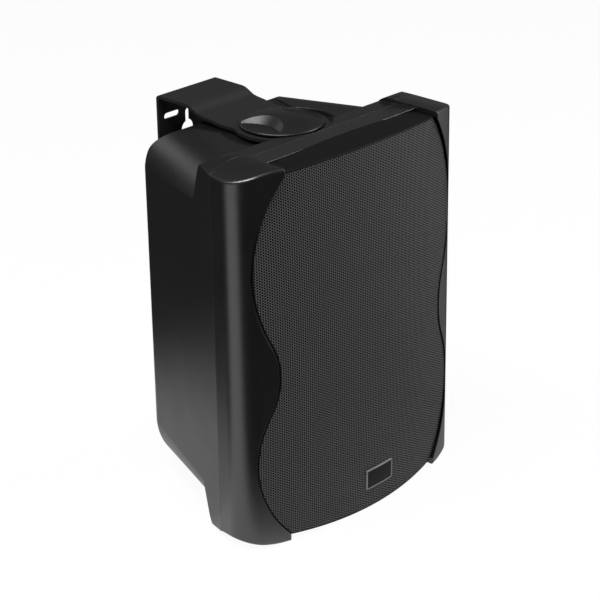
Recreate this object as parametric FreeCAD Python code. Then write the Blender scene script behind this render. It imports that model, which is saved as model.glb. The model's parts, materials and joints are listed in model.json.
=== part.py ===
import FreeCAD, Part
import math
import os

# Two-way wall loudspeaker on a swivelling L bracket.
# Millimetres, +Z up, front towards -Y.
# The origin is where the swivel axis of the bracket meets the base plane.

# Outline of the front baffle
HEIGHT = 300.0
RAIL_DROP = 1.7
CHEEK_WIDTH = 32.7
EAR_FLAT = 4.0
EAR_DROP = 10.0
SEAM_HALF = 114.7
BAFFLE_DRAFT = 8.0
CORNER_RADIUS = 22.0
FRONT_RADIUS = 286.0
FRONT_Y = -95.4
SEAM_Y = -41.0
BOARD_DEPTH = 33.4
BOARD_THICK = 6.0
WALL = 3.5
EDGE_ROUND = 2.2

# Wavy outline of the grille opening: two lobes joined by a waist on each side
UPPER_CHEEK = 6.7
UPPER_END_DROP = 5.4
UPPER_LOBE_RADIUS = 120.0
LOWER_CHEEK = 7.7
LOWER_END_RISE = 5.8
LOWER_LOBE_RADIUS = 90.0
WAIST_RADIUS = 60.0

# Pressed steel grille, its backing cloth and the bare badge plate
GRILLE_GAP = 0.7
GRILLE_SHEET = 1.2
GRILLE_SET_BACK = 0.5
GRILLE_SEAT = 0.3
GRILLE_CORNER_DROP = 4.0
GRILLE_RISE = 3.6
GRILLE_DOME_RADIUS = 4200.0
CLOTH_THICK = 0.8
CLOTH_GAP = 0.3
BADGE_WIDTH = 29.5
BADGE_HEIGHT = 16.5
BADGE_THICK = 1.2
BADGE_X = 5.8
BADGE_Z = 26.0
BADGE_CORNER = 1.0

# Rear cabinet
SIDE_TAPER = 20.3
REAR_Y = 85.0
REAR_ROUND = 18.0
REAR_TOP_ROUND = 42.0
PLATEAU_DROP = 10.0
SHOULDER_RUN = 36.0
BASE_SHOULDER_RUN = 45.0
SHOULDER_DROP_FRONT = 32.0
SHOULDER_DROP_REAR = 43.0
FLAT_SKIM = 0.05
FLANGE_DEPTH = 17.0
FLANGE_ROUND = 16.0
RAIL_FALL = 4.3
VALLEY_DEPTH = 29.0
RECESS_RADIUS = 47.0
RECESS_DEPTH = 3.5
RECESS_DISC_GAP = 3.0
RECESS_BOSS_RISE = 2.0
RECESS_BOSS_RADIUS = 22.0
CHANNEL_CLEARANCE = 1.5
BOSS_RADIUS = 13.0
BOSS_DEPTH = 24.0
SCREW_BOSS_RADIUS = 5.5
SCREW_BOSS_DEPTH = 18.0
RIB_THICK = 3.0

# Bracket, swivel and clamping knob
SWIVEL_LIMIT = 15.0
BRACKET_THICK = 2.5
BRACKET_HALF = 30.5
BRACKET_DISC_RADIUS = 36.0
BRACKET_HOLE_RADIUS = 4.6
BRACKET_BEND = 1.0
ARM_LIFT = 2.5
ARM_STEP = 5.0
ARM_STEP_Y = 60.5
ARM_STEP_RUN = 10.0
ARM_STEP_ROUND = 15.0
PLATE_Y = 106.0
PLATE_DROP = 66.0
PLATE_CORNER = 5.0
SLOT_LENGTH = 17.0
SLOT_WIDTH = 5.2
SLOT_SPACING = 33.0
SLOT_BELOW_TOP = 19.0
KEYHOLE_RADIUS = 7.0
KEYHOLE_SLOT = 5.4
KEYHOLE_BELOW_TOP = 34.5
KEYHOLE_TRAVEL = 14.0
FRICTION_WASHER_THICK = 1.0
FRICTION_WASHER_RADIUS = 20.0
KNOB_RADIUS = 32.4
KNOB_RIM_HEIGHT = 1.2
KNOB_DOME = 5.8
KNOB_POCKET_X = 40.0
KNOB_POCKET_RADIUS = 29.0
KNOB_POCKET_FLOOR = 0.6
KNOB_LIP = 1.5
KNOB_EDGE = 1.0
KNOB_LIFT = 1.5
KNOB_HUB_RADIUS = 12.0
KNOB_HUB_PLAY = 0.3
ARM_PLAY = 0.1
STUD_RADIUS = 4.0
STUD_LENGTH = 22.0
STUD_HEAD_RADIUS = 7.0
STUD_HEAD_THICK = 3.5
STUD_FIT = 0.05
INSERT_RADIUS = 7.0
INSERT_LENGTH = 16.0

# Screws
SCREW_RADIUS = 1.9
SCREW_HEAD_RADIUS = 3.8
SCREW_HEAD_HEIGHT = 2.4
SCREW_DRIVE_RADIUS = 1.4
SCREW_HOLE = 0.3
BAFFLE_SCREW_LENGTH = 30.0
BAFFLE_SCREW_SIDE = 16.7
BAFFLE_SCREW_CORNER_X = 56.0
BAFFLE_SCREW_EDGE = 18.0

# Woofer
WOOFER_Z = 93.0
WOOFER_RADIUS = 82.0
WOOFER_HOLE_RADIUS = 71.5
WOOFER_SCREW_CIRCLE = 77.5
WOOFER_SCREW_COUNT = 6
WOOFER_SCREW_ANGLE = 30.0
WOOFER_SCREW_LENGTH = 12.0
GASKET_THICK = 1.5
BASKET_SHEET = 1.2
BASKET_DEPTH = 44.0
BASKET_FLOOR_RADIUS = 44.0
BASKET_WINDOWS = 6
BASKET_SPOKE = 14.0
SURROUND_OUTER = 72.0
SURROUND_ROLL = 7.5
SURROUND_LIP = 4.0
SURROUND_GAP = 0.5
SURROUND_SKIN = 0.8
CONE_RADIUS = 59.0
CONE_DEPTH = 27.0
CONE_SKIN = 0.9
DUST_CAP_RADIUS = 21.0
DUST_CAP_RISE = 7.0
COIL_RADIUS = 12.7
FORMER_SKIN = 0.4
COIL_SKIN = 0.6
COIL_LENGTH = 10.0
MAGNET_GAP = 0.5
SPIDER_OUTER = 38.0
SPIDER_SKIN = 0.8
SPIDER_RIPPLE = 1.8
SPIDER_HEIGHT = 9.0
TOP_PLATE_THICK = 6.0
TOP_PLATE_RADIUS = 44.0
MAGNET_RADIUS = 50.0
MAGNET_BORE = 25.0
MAGNET_THICK = 16.0
YOKE_THICK = 6.0

# Tweeter
TWEETER_TOP_EDGE = 17.0
DRIVER_GAP = 6.0
TWEETER_PLATE_THICK = 4.0
TWEETER_HORN_EDGE = 18.0
TWEETER_HORN_DEPTH = 9.0
TWEETER_THROAT = 15.0
TWEETER_SKIN = 2.0
TWEETER_MOTOR_EDGE = 16.0
TWEETER_MOTOR_THICK = 18.0
TWEETER_POLE_RADIUS = 11.6
TWEETER_MOTOR_GAP = 2.0
TWEETER_MOTOR_GAP_DEPTH = 6.0
TWEETER_HOLE_CLEARANCE = 1.0
TWEETER_SCREW_EDGE = 6.0
TWEETER_SCREW_COUNT = 4
TWEETER_SCREW_ANGLE = 45.0
TWEETER_SCREW_LENGTH = 11.0
DOME_RADIUS = 12.6
DOME_RISE = 5.0
DOME_SKIN = 0.5
DOME_SKIRT = 4.5

# Bass port
PORT_SIDE = 44.7
PORT_RADIUS = 17.0
PORT_SKIN = 2.0
PORT_LENGTH = 70.0
PORT_FLANGE_RADIUS = 23.0
PORT_FLANGE_THICK = 2.5
PORT_FIT = 0.3

# Terminal cup with two spring levers
TERMINAL_Z = 112.0
TERMINAL_WIDTH = 72.0
TERMINAL_HEIGHT = 54.0
TERMINAL_FLANGE = 3.0
TERMINAL_RIM = 8.0
TERMINAL_DEPTH = 20.0
TERMINAL_SKIN = 2.2
TERMINAL_CORNER = 5.0
TERMINAL_FIT = 0.4
TERMINAL_SCREW_LENGTH = 12.0
LEVER_WIDTH = 12.0
LEVER_HEIGHT = 22.0
LEVER_THICK = 5.0
LEVER_SPACING = 24.0
LEVER_PIN_RADIUS = 1.8
LEVER_PIN_FIT = 0.05
LEVER_CHEEK = 2.0
LEVER_SIDE_GAP = 0.4
LEVER_FLOOR_GAP = 1.2
WIRE_HOLE_RADIUS = 2.2
WIRE_HOLE_DROP = 8.0

# Crossover board behind the terminal cup
PCB_WIDTH = 66.0
PCB_HEIGHT = 48.0
PCB_THICK = 1.6
PCB_STANDOFF = 6.0
PCB_POST_RADIUS = 3.0
PCB_POST_INSET = 5.0
PCB_EDGE = 2.0
PCB_SCREW_LENGTH = 6.0
CHOKE_RADIUS = 15.0
CHOKE_BORE = 6.0
CHOKE_HEIGHT = 14.0
CAPACITOR_RADIUS = 6.5
CAPACITOR_LENGTH = 24.0
RESISTOR_SIZE = 9.0
RESISTOR_LENGTH = 20.0

# Damping wadding on the inside of the rear wall
PAD_HEIGHT = 76.0
PAD_THICK = 22.0
PAD_SIDE = 12.0
PAD_GAP = 0.3
PAD_BOTTOM = 150.0

# Places that follow from the sizes above
MIDDLE_Z = HEIGHT / 2
RAIL_TOP = HEIGHT - RAIL_DROP
CHEEK_INNER = SEAM_HALF - CHEEK_WIDTH
UPPER_LOBE_X = SEAM_HALF - UPPER_CHEEK - UPPER_LOBE_RADIUS
LOWER_LOBE_X = SEAM_HALF - LOWER_CHEEK - LOWER_LOBE_RADIUS
UPPER_REACH = math.sqrt(UPPER_LOBE_RADIUS ** 2 - (CHEEK_INNER - UPPER_LOBE_X) ** 2)
LOWER_REACH = math.sqrt(LOWER_LOBE_RADIUS ** 2 - (CHEEK_INNER - LOWER_LOBE_X) ** 2)
UPPER_LOBE_Z = HEIGHT - UPPER_END_DROP - UPPER_REACH
LOWER_LOBE_Z = LOWER_END_RISE + LOWER_REACH
BAFFLE_SCREW_X = SEAM_HALF - BAFFLE_SCREW_SIDE
BOARD_Y = FRONT_Y + BOARD_DEPTH
BOARD_REAR = BOARD_Y + BOARD_THICK
PLATEAU_Z = HEIGHT - PLATEAU_DROP
RECESS_FLOOR = PLATEAU_Z - RECESS_DEPTH
BOSS_TOP = RECESS_FLOOR + RECESS_BOSS_RISE
ARM_BOTTOM = BOSS_TOP + FRICTION_WASHER_THICK + ARM_PLAY
ARM_TOP = ARM_BOTTOM + BRACKET_THICK
STEP_FOOT = ARM_TOP + ARM_LIFT
PLATE_TOP = STEP_FOOT + ARM_STEP
KNOB_BOTTOM = ARM_TOP + KNOB_LIFT
TWEETER_RADIUS = (HEIGHT - TWEETER_TOP_EDGE - WOOFER_Z - WOOFER_RADIUS - DRIVER_GAP) / 2
TWEETER_Z = HEIGHT - TWEETER_TOP_EDGE - TWEETER_RADIUS
TWEETER_HORN_RADIUS = TWEETER_RADIUS - TWEETER_HORN_EDGE
TWEETER_MOTOR_RADIUS = TWEETER_RADIUS - TWEETER_MOTOR_EDGE
TWEETER_SCREW_CIRCLE = TWEETER_RADIUS - TWEETER_SCREW_EDGE
PORT_X = PORT_SIDE - SEAM_HALF
FAR = 3 * HEIGHT
X_AXIS = FreeCAD.Vector(1, 0, 0)
Y_AXIS = FreeCAD.Vector(0, 1, 0)
Z_AXIS = FreeCAD.Vector(0, 0, 1)


def vec(x, y, z):
    return FreeCAD.Vector(x, y, z)


def line(a, b):
    return Part.LineSegment(a, b).toShape()


def arc(a, through, b):
    return Part.Arc(a, through, b).toShape()


def face_of(edges):
    return Part.Face(Part.Wire(Part.__sortEdges__(edges)))


def box(x0, x1, y0, y1, z0, z1):
    return Part.makeBox(x1 - x0, y1 - y0, z1 - z0, vec(x0, y0, z0))


def upright(radius, x, y, z0, z1):
    return Part.makeCylinder(radius, z1 - z0, vec(x, y, z0), Z_AXIS)


def level(radius, x, z, y0, y1):
    """A cylinder along the Y axis."""
    return Part.makeCylinder(radius, y1 - y0, vec(x, y0, z), Y_AXIS)


def fused(shapes):
    return shapes[0].multiFuse(shapes[1:]).removeSplitter() if len(shapes) > 1 else shapes[0]


def turned_profile(points, x, z, y):
    """An outline of (radius, depth) points turned about the Y axis through (x, z), with depth from y."""
    corners = [vec(r, d, 0) for r, d in points]
    outline = Part.makePolygon(corners + [corners[0]])
    solid = Part.Face(outline).revolve(vec(0, 0, 0), Y_AXIS, 360)
    solid.translate(vec(x, y, z))
    return solid


def turned_face(edges, x, z, y):
    solid = face_of(edges).revolve(vec(0, 0, 0), Y_AXIS, 360)
    solid.translate(vec(x, y, z))
    return solid


def around(count, radius, start=0.0):
    """Offsets (x, z) of a bolt circle."""
    step = 360.0 / count
    angles = [math.radians(start + step * i) for i in range(count)]
    return [(radius * math.cos(a), radius * math.sin(a)) for a in angles]


def screw(x, z, y, length, facing=1):
    """A pan head screw whose head rests on the plane y and whose shank runs along facing * Y."""
    away = Y_AXIS * -facing
    half = SCREW_HEAD_HEIGHT / 2
    rim = Part.makeCylinder(SCREW_HEAD_RADIUS, half, vec(x, y, z), away)
    edge = vec(x, y - facing * half, z)
    crest = vec(x, y - facing * SCREW_HEAD_HEIGHT, z)
    crown = Part.makeCone(SCREW_HEAD_RADIUS, SCREW_HEAD_RADIUS - half, half, edge, away)
    shank = Part.makeCylinder(SCREW_RADIUS, length, vec(x, y, z), Y_AXIS * facing)
    drive = Part.makeCylinder(SCREW_DRIVE_RADIUS, half, crest, Y_AXIS * facing)
    return fused([rim, crown, shank]).cut(drive)


# Outlines

def baffle_plan(inset, rear_y):
    """Plan of the baffle: bowed front, rounded corners and drafted sides, moved inwards by inset."""
    draft = math.radians(BAFFLE_DRAFT)
    along = (math.sin(draft), -math.cos(draft))
    inward = (-math.cos(draft), -math.sin(draft))
    centre_y = FRONT_Y + FRONT_RADIUS
    big = FRONT_RADIUS - inset
    small = CORNER_RADIUS - inset
    start = (SEAM_HALF + inward[0] * inset, SEAM_Y + inward[1] * inset)
    px = start[0] + inward[0] * small
    py = start[1] + inward[1] * small - centre_y
    half_b = px * along[0] + py * along[1]
    c = px * px + py * py - (big - small) ** 2
    t = -half_b + math.sqrt(half_b * half_b - c)
    corner = (px + along[0] * t, py + centre_y + along[1] * t)
    side = (start[0] + along[0] * t, start[1] + along[1] * t)
    reach = big / (big - small)
    front = (corner[0] * reach, centre_y + (corner[1] - centre_y) * reach)
    mid_x = side[0] + front[0] - 2 * corner[0]
    mid_y = side[1] + front[1] - 2 * corner[1]
    scale = small / math.hypot(mid_x, mid_y)
    round_mid = (corner[0] + mid_x * scale, corner[1] + mid_y * scale)
    rear_x = start[0] - along[0] / along[1] * (start[1] - rear_y)
    edges = [arc(vec(-front[0], front[1], 0), vec(0, centre_y - big, 0), vec(front[0], front[1], 0))]
    for s in (1, -1):
        edges.append(arc(vec(s * front[0], front[1], 0), vec(s * round_mid[0], round_mid[1], 0),
                         vec(s * side[0], side[1], 0)))
        edges.append(line(vec(s * side[0], side[1], 0), vec(s * rear_x, rear_y, 0)))
    edges.append(line(vec(rear_x, rear_y, 0), vec(-rear_x, rear_y, 0)))
    solid = face_of(edges).extrude(Z_AXIS * FAR)
    solid.translate(vec(0, 0, -HEIGHT))
    return solid


def side_half():
    """Half width of the baffle where its side meets the rounded corner, with room to spare."""
    return SEAM_HALF + (SEAM_Y - FRONT_Y) * math.tan(math.radians(BAFFLE_DRAFT))


def ear_profile(inset, y0, y1):
    """Front view of the baffle: a low rail between two ears that fall towards the sides."""
    flat = CHEEK_INNER + EAR_FLAT
    run = side_half() - flat
    radius = (run * run + EAR_DROP * EAR_DROP) / (2 * EAR_DROP)
    half = run / 2
    fall = radius - math.sqrt(radius * radius - half * half)
    top = (RAIL_TOP if inset else HEIGHT) - inset
    edges = []
    for s in (1, -1):
        for base, up in ((0, 1), (HEIGHT, -1)):
            def point(x, z):
                return vec(s * x, y0, base + up * (HEIGHT - z))
            inner = point(CHEEK_INNER, top)
            edges.append(line(point(0, RAIL_TOP - inset), point(CHEEK_INNER, RAIL_TOP - inset)))
            if not inset:
                edges.append(line(point(CHEEK_INNER, RAIL_TOP), inner))
            edges.append(line(inner, point(flat, top)))
            start, end = point(flat, top), point(flat + run, top - EAR_DROP)
            edges.append(arc(start, point(flat + half, top - fall), end))
        edges.append(line(vec(s * (flat + run), y0, top - EAR_DROP),
                          vec(s * (flat + run), y0, HEIGHT - top + EAR_DROP)))
    return face_of(edges).extrude(Y_AXIS * (y1 - y0))


def wave_sides(inset):
    """Named points of the right half of the wavy opening, moved inwards by inset."""
    upper = (UPPER_LOBE_X, UPPER_LOBE_Z)
    lower = (LOWER_LOBE_X, LOWER_LOBE_Z)
    a = UPPER_LOBE_RADIUS + WAIST_RADIUS
    b = LOWER_LOBE_RADIUS + WAIST_RADIUS
    dx = lower[0] - upper[0]
    dz = lower[1] - upper[1]
    d = math.hypot(dx, dz)
    k = (a * a - b * b + d * d) / (2 * d)
    h = math.sqrt(a * a - k * k)
    waist = (upper[0] + (dx * k - dz * h) / d, upper[1] + (dz * k + dx * h) / d)
    upper_r = UPPER_LOBE_RADIUS - inset
    lower_r = LOWER_LOBE_RADIUS - inset

    def toward(c, r, whole):
        return (c[0] + (waist[0] - c[0]) * r / whole, c[1] + (waist[1] - c[1]) * r / whole)
    edge_x = CHEEK_INNER - inset
    return {
        "top": (edge_x, upper[1] + math.sqrt(upper_r ** 2 - (edge_x - upper[0]) ** 2)),
        "upper": (upper[0] + upper_r, upper[1]),
        "upper_waist": toward(upper, upper_r, a),
        "waist": (waist[0] - WAIST_RADIUS - inset, waist[1]),
        "lower_waist": toward(lower, lower_r, b),
        "lower": (lower[0] + lower_r, lower[1]),
        "bottom": (edge_x, lower[1] - math.sqrt(lower_r ** 2 - (edge_x - lower[0]) ** 2)),
    }


def wave_face(inset, y, corner_z, rise):
    """The wavy outline as a face at depth y, closed by arched top and bottom edges."""
    p = wave_sides(inset)
    edges = []
    for s in (1, -1):
        q = {name: vec(s * x, y, z) for name, (x, z) in p.items()}
        top = vec(s * p["top"][0], y, corner_z)
        bottom = vec(s * p["bottom"][0], y, HEIGHT - corner_z)
        edges.append(line(top, q["top"]))
        edges.append(arc(q["top"], q["upper"], q["upper_waist"]))
        edges.append(arc(q["upper_waist"], q["waist"], q["lower_waist"]))
        edges.append(arc(q["lower_waist"], q["lower"], q["bottom"]))
        edges.append(line(q["bottom"], bottom))
    x = p["top"][0]
    for base, up in ((0, 1), (HEIGHT, -1)):
        left = vec(-x, y, base + up * (HEIGHT - corner_z))
        right = vec(x, y, base + up * (HEIGHT - corner_z))
        crown = vec(0, y, base + up * (HEIGHT - corner_z - rise))
        edges.append(arc(left, crown, right) if rise else line(left, right))
    return face_of(edges)


def pocket(outset, depth_y):
    """The opening in front of the board, open at the top and bottom."""
    outline = wave_face(-outset, FRONT_Y - WALL, HEIGHT + 2 * WALL, 0)
    return outline.extrude(Y_AXIS * (depth_y - FRONT_Y + WALL))


def woofer_screw_offsets():
    return around(WOOFER_SCREW_COUNT, WOOFER_SCREW_CIRCLE, WOOFER_SCREW_ANGLE)


def tweeter_screw_offsets():
    return around(TWEETER_SCREW_COUNT, TWEETER_SCREW_CIRCLE, TWEETER_SCREW_ANGLE)


def port_height():
    """The middle of the room that the two drivers leave at the port's side."""
    above_woofer = math.sqrt((WOOFER_RADIUS + PORT_FLANGE_RADIUS) ** 2 - PORT_X ** 2)
    below_tweeter = math.sqrt(max(0.0, (TWEETER_RADIUS + PORT_FLANGE_RADIUS) ** 2 - PORT_X ** 2))
    return (WOOFER_Z + above_woofer + TWEETER_Z - below_tweeter) / 2


def baffle_screw_places():
    x, edge = BAFFLE_SCREW_CORNER_X, BAFFLE_SCREW_EDGE
    rows = [(x, HEIGHT - edge), (BAFFLE_SCREW_X, UPPER_LOBE_Z), (BAFFLE_SCREW_X, LOWER_LOBE_Z), (x, edge)]
    return [(s * px, pz) for px, pz in rows for s in (1, -1)]


def boss_web(x, z, y0, y1):
    """A web from a screw boss to the nearest wall: sideways at the sides, up or down for the others."""
    t = RIB_THICK / 2
    if abs(x) > BAFFLE_SCREW_CORNER_X:
        far = math.copysign(SEAM_HALF, x)
        return box(min(x, far), max(x, far), y0, y1, z - t, z + t)
    far = HEIGHT if z > MIDDLE_Z else 0
    return box(x - t, x + t, y0, y1, min(z, far), max(z, far))


# Front baffle, grille and badge

def front_baffle():
    outer = baffle_plan(0, SEAM_Y).common(ear_profile(0, FRONT_Y - WALL, SEAM_Y))
    outer = outer.cut(pocket(0, BOARD_Y)).cut(rail_wedge(0))
    outer = outer.makeFillet(EDGE_ROUND, [e for e in outer.Edges if is_ear_rim(e)])
    hollow = baffle_plan(WALL, SEAM_Y + WALL).common(ear_profile(WALL, FRONT_Y, SEAM_Y + WALL))
    hollow = hollow.cut(pocket(WALL, BOARD_REAR)).cut(rail_wedge(WALL))
    baffle = outer.cut(hollow)
    posts = []
    for x, z in baffle_screw_places():
        posts.append(level(SCREW_BOSS_RADIUS, x, z, BOARD_REAR - BOARD_THICK / 2, SEAM_Y))
        posts.append(boss_web(x, z, BOARD_REAR - BOARD_THICK / 2, SEAM_Y).common(hollow))
    baffle = fused([baffle] + posts)
    holes = []
    for x, z in baffle_screw_places():
        holes.append(level(SCREW_RADIUS + SCREW_HOLE, x, z, BOARD_Y - 1, SEAM_Y + 1))
    holes.append(level(WOOFER_HOLE_RADIUS, 0, WOOFER_Z, BOARD_Y - 1, BOARD_REAR + 1))
    tweeter_hole = TWEETER_MOTOR_RADIUS + TWEETER_HOLE_CLEARANCE
    holes.append(level(tweeter_hole, 0, TWEETER_Z, BOARD_Y - 1, BOARD_REAR + 1))
    port_hole = PORT_RADIUS + PORT_SKIN + PORT_FIT
    holes.append(level(port_hole, PORT_X, port_height(), BOARD_Y - 1, BOARD_REAR + 1))
    for dx, dz in woofer_screw_offsets():
        holes.append(level(SCREW_RADIUS, dx, WOOFER_Z + dz, BOARD_Y - 1, BOARD_REAR + 1))
    for dx, dz in tweeter_screw_offsets():
        holes.append(level(SCREW_RADIUS, dx, TWEETER_Z + dz, BOARD_Y - 1, BOARD_REAR + 1))
    return baffle.cut(Part.makeCompound(holes))


def is_ear_rim(edge):
    """The curved front and side edges of an ear's top or bottom, not its straight inner and rear edges."""
    c = edge.CenterOfMass
    on_end = min(abs(c.z), abs(c.z - HEIGHT)) < EAR_DROP
    curved = not isinstance(edge.Curve, Part.Line)
    return on_end and curved and abs(c.x) > CHEEK_INNER and edge.BoundBox.YMin < SEAM_Y - EDGE_ROUND


def grille_front(y_shift, thick):
    """A sheet bowed across and slightly domed up and down, its face y_shift behind the baffle's bow."""
    centre_y = FRONT_Y + FRONT_RADIUS
    outer = FRONT_RADIUS - y_shift
    inner = outer - thick
    half = math.asin(SEAM_HALF / FRONT_RADIUS)
    s, c = math.sin(half), math.cos(half)
    front = [vec(-outer * s, centre_y - outer * c, 0), vec(0, centre_y - outer, 0),
             vec(outer * s, centre_y - outer * c, 0)]
    back = [vec(-inner * s, centre_y - inner * c, 0), vec(0, centre_y - inner, 0),
            vec(inner * s, centre_y - inner * c, 0)]
    section = face_of([arc(*front), arc(*back), line(front[0], back[0]), line(front[2], back[2])])
    reach = math.degrees(math.asin(HEIGHT * 0.6 / GRILLE_DOME_RADIUS))
    axis_point = vec(0, FRONT_Y + GRILLE_DOME_RADIUS, 0)
    section.rotate(axis_point, X_AXIS, -reach)
    sheet = section.revolve(axis_point, X_AXIS, 2 * reach)
    sheet.translate(vec(0, 0, MIDDLE_Z))
    return sheet


def grille():
    corner_z = HEIGHT - GRILLE_CORNER_DROP
    outline = wave_face(GRILLE_GAP, FRONT_Y - WALL, corner_z, GRILLE_RISE)
    inside = wave_face(GRILLE_GAP + GRILLE_SHEET, FRONT_Y - WALL, corner_z - GRILLE_SHEET, GRILLE_RISE)
    depth = BOARD_Y - GRILLE_SEAT - FRONT_Y + WALL
    rim = outline.extrude(Y_AXIS * depth).cut(inside.extrude(Y_AXIS * depth))
    behind = grille_front(GRILLE_SET_BACK, BOARD_DEPTH + FRONT_RADIUS / 4)
    sheet = grille_front(GRILLE_SET_BACK, GRILLE_SHEET).common(outline.extrude(Y_AXIS * depth))
    return sheet.fuse(rim.common(behind)).removeSplitter()


def grille_cloth():
    inset = GRILLE_GAP + GRILLE_SHEET + CLOTH_GAP
    corner_z = HEIGHT - GRILLE_CORNER_DROP - GRILLE_SHEET - CLOTH_GAP
    outline = wave_face(inset, FRONT_Y - WALL, corner_z, GRILLE_RISE)
    sheet = grille_front(GRILLE_SET_BACK + GRILLE_SHEET + CLOTH_GAP, CLOTH_THICK)
    return sheet.common(outline.extrude(Y_AXIS * BOARD_DEPTH))


def badge_plate():
    """A bare plate that follows the bow of the grille."""
    blank = box(BADGE_X - BADGE_WIDTH / 2, BADGE_X + BADGE_WIDTH / 2, FRONT_Y - WALL, BOARD_Y,
                BADGE_Z - BADGE_HEIGHT / 2, BADGE_Z + BADGE_HEIGHT / 2)
    blank = blank.makeFillet(BADGE_CORNER, [e for e in blank.Edges if e.BoundBox.YLength > 1])
    return grille_front(GRILLE_SET_BACK - BADGE_THICK, BADGE_THICK).common(blank)


# Rear cabinet

def cabinet_half(y):
    return SEAM_HALF - (y - SEAM_Y) * math.tan(math.radians(SIDE_TAPER))


def crease(y):
    """Height of the crease between side and shoulder, counted from the middle."""
    share = (y - SEAM_Y) / (REAR_Y - SEAM_Y)
    drop = SHOULDER_DROP_FRONT + (SHOULDER_DROP_REAR - SHOULDER_DROP_FRONT) * share
    return MIDDLE_Z - drop


def vault_section(y, inset):
    """One cross section of the cabinet: straight sides, curved shoulders, flat top and bottom."""
    half = cabinet_half(y) - inset
    top = PLATEAU_Z - inset + FLAT_SKIM
    bottom = inset - FLAT_SKIM
    upper = MIDDLE_Z + crease(y) - inset / 2
    lower = MIDDLE_Z - crease(y) + inset / 2
    edges = []
    for z, end, run in ((upper, top, SHOULDER_RUN), (lower, bottom, BASE_SHOULDER_RUN)):
        ridge = half - run
        rise = abs(end - z)
        radius = (run ** 2 + rise ** 2) / (2 * rise)
        turn = math.asin(min(1.0, run / radius)) / 2
        mid_z = end + math.copysign(radius * (1 - math.cos(turn)), z - end)
        edges.append(line(vec(-ridge, y, end), vec(ridge, y, end)))
        for s in (1, -1):
            mid = vec(s * (ridge + radius * math.sin(turn)), y, mid_z)
            edges.append(arc(vec(s * half, y, z), mid, vec(s * ridge, y, end)))
    for s in (1, -1):
        edges.append(line(vec(s * half, y, upper), vec(s * half, y, lower)))
    return Part.Wire(Part.__sortEdges__(edges))


def vault(inset, front_y, rear_y):
    """The tapered body between two cross sections, rounded at the rear, most of all along its top edge."""
    body = Part.makeLoft([vault_section(front_y, inset), vault_section(rear_y, inset)], True, True)
    rear_rim = [e for e in body.Edges if abs(e.BoundBox.YMin - rear_y) < 0.01]
    body = body.makeFillet(REAR_ROUND - inset, rear_rim)
    top = PLATEAU_Z - inset
    limits = box(-FAR, FAR, -FAR, rear_y + FLAT_SKIM, inset, top)
    rear_top = [e for e in limits.Edges if e.BoundBox.YMin > rear_y and e.BoundBox.ZMin > top - 1]
    return body.common(limits.makeFillet(REAR_TOP_ROUND - inset, rear_top))


def flange_slab(inset, front_y):
    """Side view of the rim behind the seam: its rear leans forward at the ears and rolls over at the top."""
    rear_top = SEAM_Y + FLANGE_DEPTH - inset
    rear_mid = SEAM_Y + VALLEY_DEPTH - inset
    lift = SHOULDER_DROP_FRONT
    lean = math.atan2(rear_mid - rear_top, lift)
    radius = FLANGE_ROUND - inset
    tangent = radius * math.tan((math.pi / 2 - lean) / 2)
    centre = (rear_top - tangent, radius)
    mid_turn = (math.pi / 2 - lean) / 2 + lean
    edges = []
    for base, up in ((0, 1), (HEIGHT, -1)):
        def point(y, z):
            return vec(-FAR / 2, y, base + up * z)
        start = point(centre[0], 0)
        mid = point(centre[0] + radius * math.cos(mid_turn), radius - radius * math.sin(mid_turn))
        end = point(centre[0] + radius * math.cos(lean), radius - radius * math.sin(lean))
        edges.append(line(point(front_y, 0), start))
        edges.append(arc(start, mid, end))
        edges.append(line(end, point(rear_mid, lift)))
    edges.append(line(vec(-FAR / 2, rear_mid, lift), vec(-FAR / 2, rear_mid, HEIGHT - lift)))
    edges.append(line(vec(-FAR / 2, front_y, 0), vec(-FAR / 2, front_y, HEIGHT)))
    return face_of(edges).extrude(X_AXIS * FAR)


def flange_block(inset, front_y):
    """The full-height rim behind the seam."""
    rear_mid = SEAM_Y + VALLEY_DEPTH - inset
    skin = inset / math.cos(math.radians(SIDE_TAPER))
    half_front = cabinet_half(front_y) - skin
    half_rear = cabinet_half(rear_mid) - skin
    plan = [vec(-half_front, front_y, 0), vec(half_front, front_y, 0), vec(half_rear, rear_mid, 0),
            vec(-half_rear, rear_mid, 0)]
    prism = Part.Face(Part.makePolygon(plan + [plan[0]])).extrude(Z_AXIS * FAR)
    prism.translate(vec(0, 0, -HEIGHT))
    block = flange_slab(inset, front_y).common(prism).common(ear_profile(inset, front_y, rear_mid))
    return block.cut(rail_wedge(inset))


def rail_wedge(inset):
    """What is cut off above the rail, whose top falls from the board's face to the rear of the flange."""
    rear = SEAM_Y + VALLEY_DEPTH
    front = FRONT_Y - WALL
    slope = RAIL_FALL / (rear - BOARD_Y)
    front_z = RAIL_TOP - inset + slope * (BOARD_Y - front)
    rear_z = RAIL_TOP - inset - RAIL_FALL
    top = HEIGHT + RAIL_FALL + WALL
    half = side_half() if inset else CHEEK_INNER
    side = [(front, front_z), (rear, rear_z), (rear, top), (front, top)]
    corners = [vec(-half, y, z) for y, z in side]
    return Part.Face(Part.makePolygon(corners + [corners[0]])).extrude(X_AXIS * (2 * half))


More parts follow.
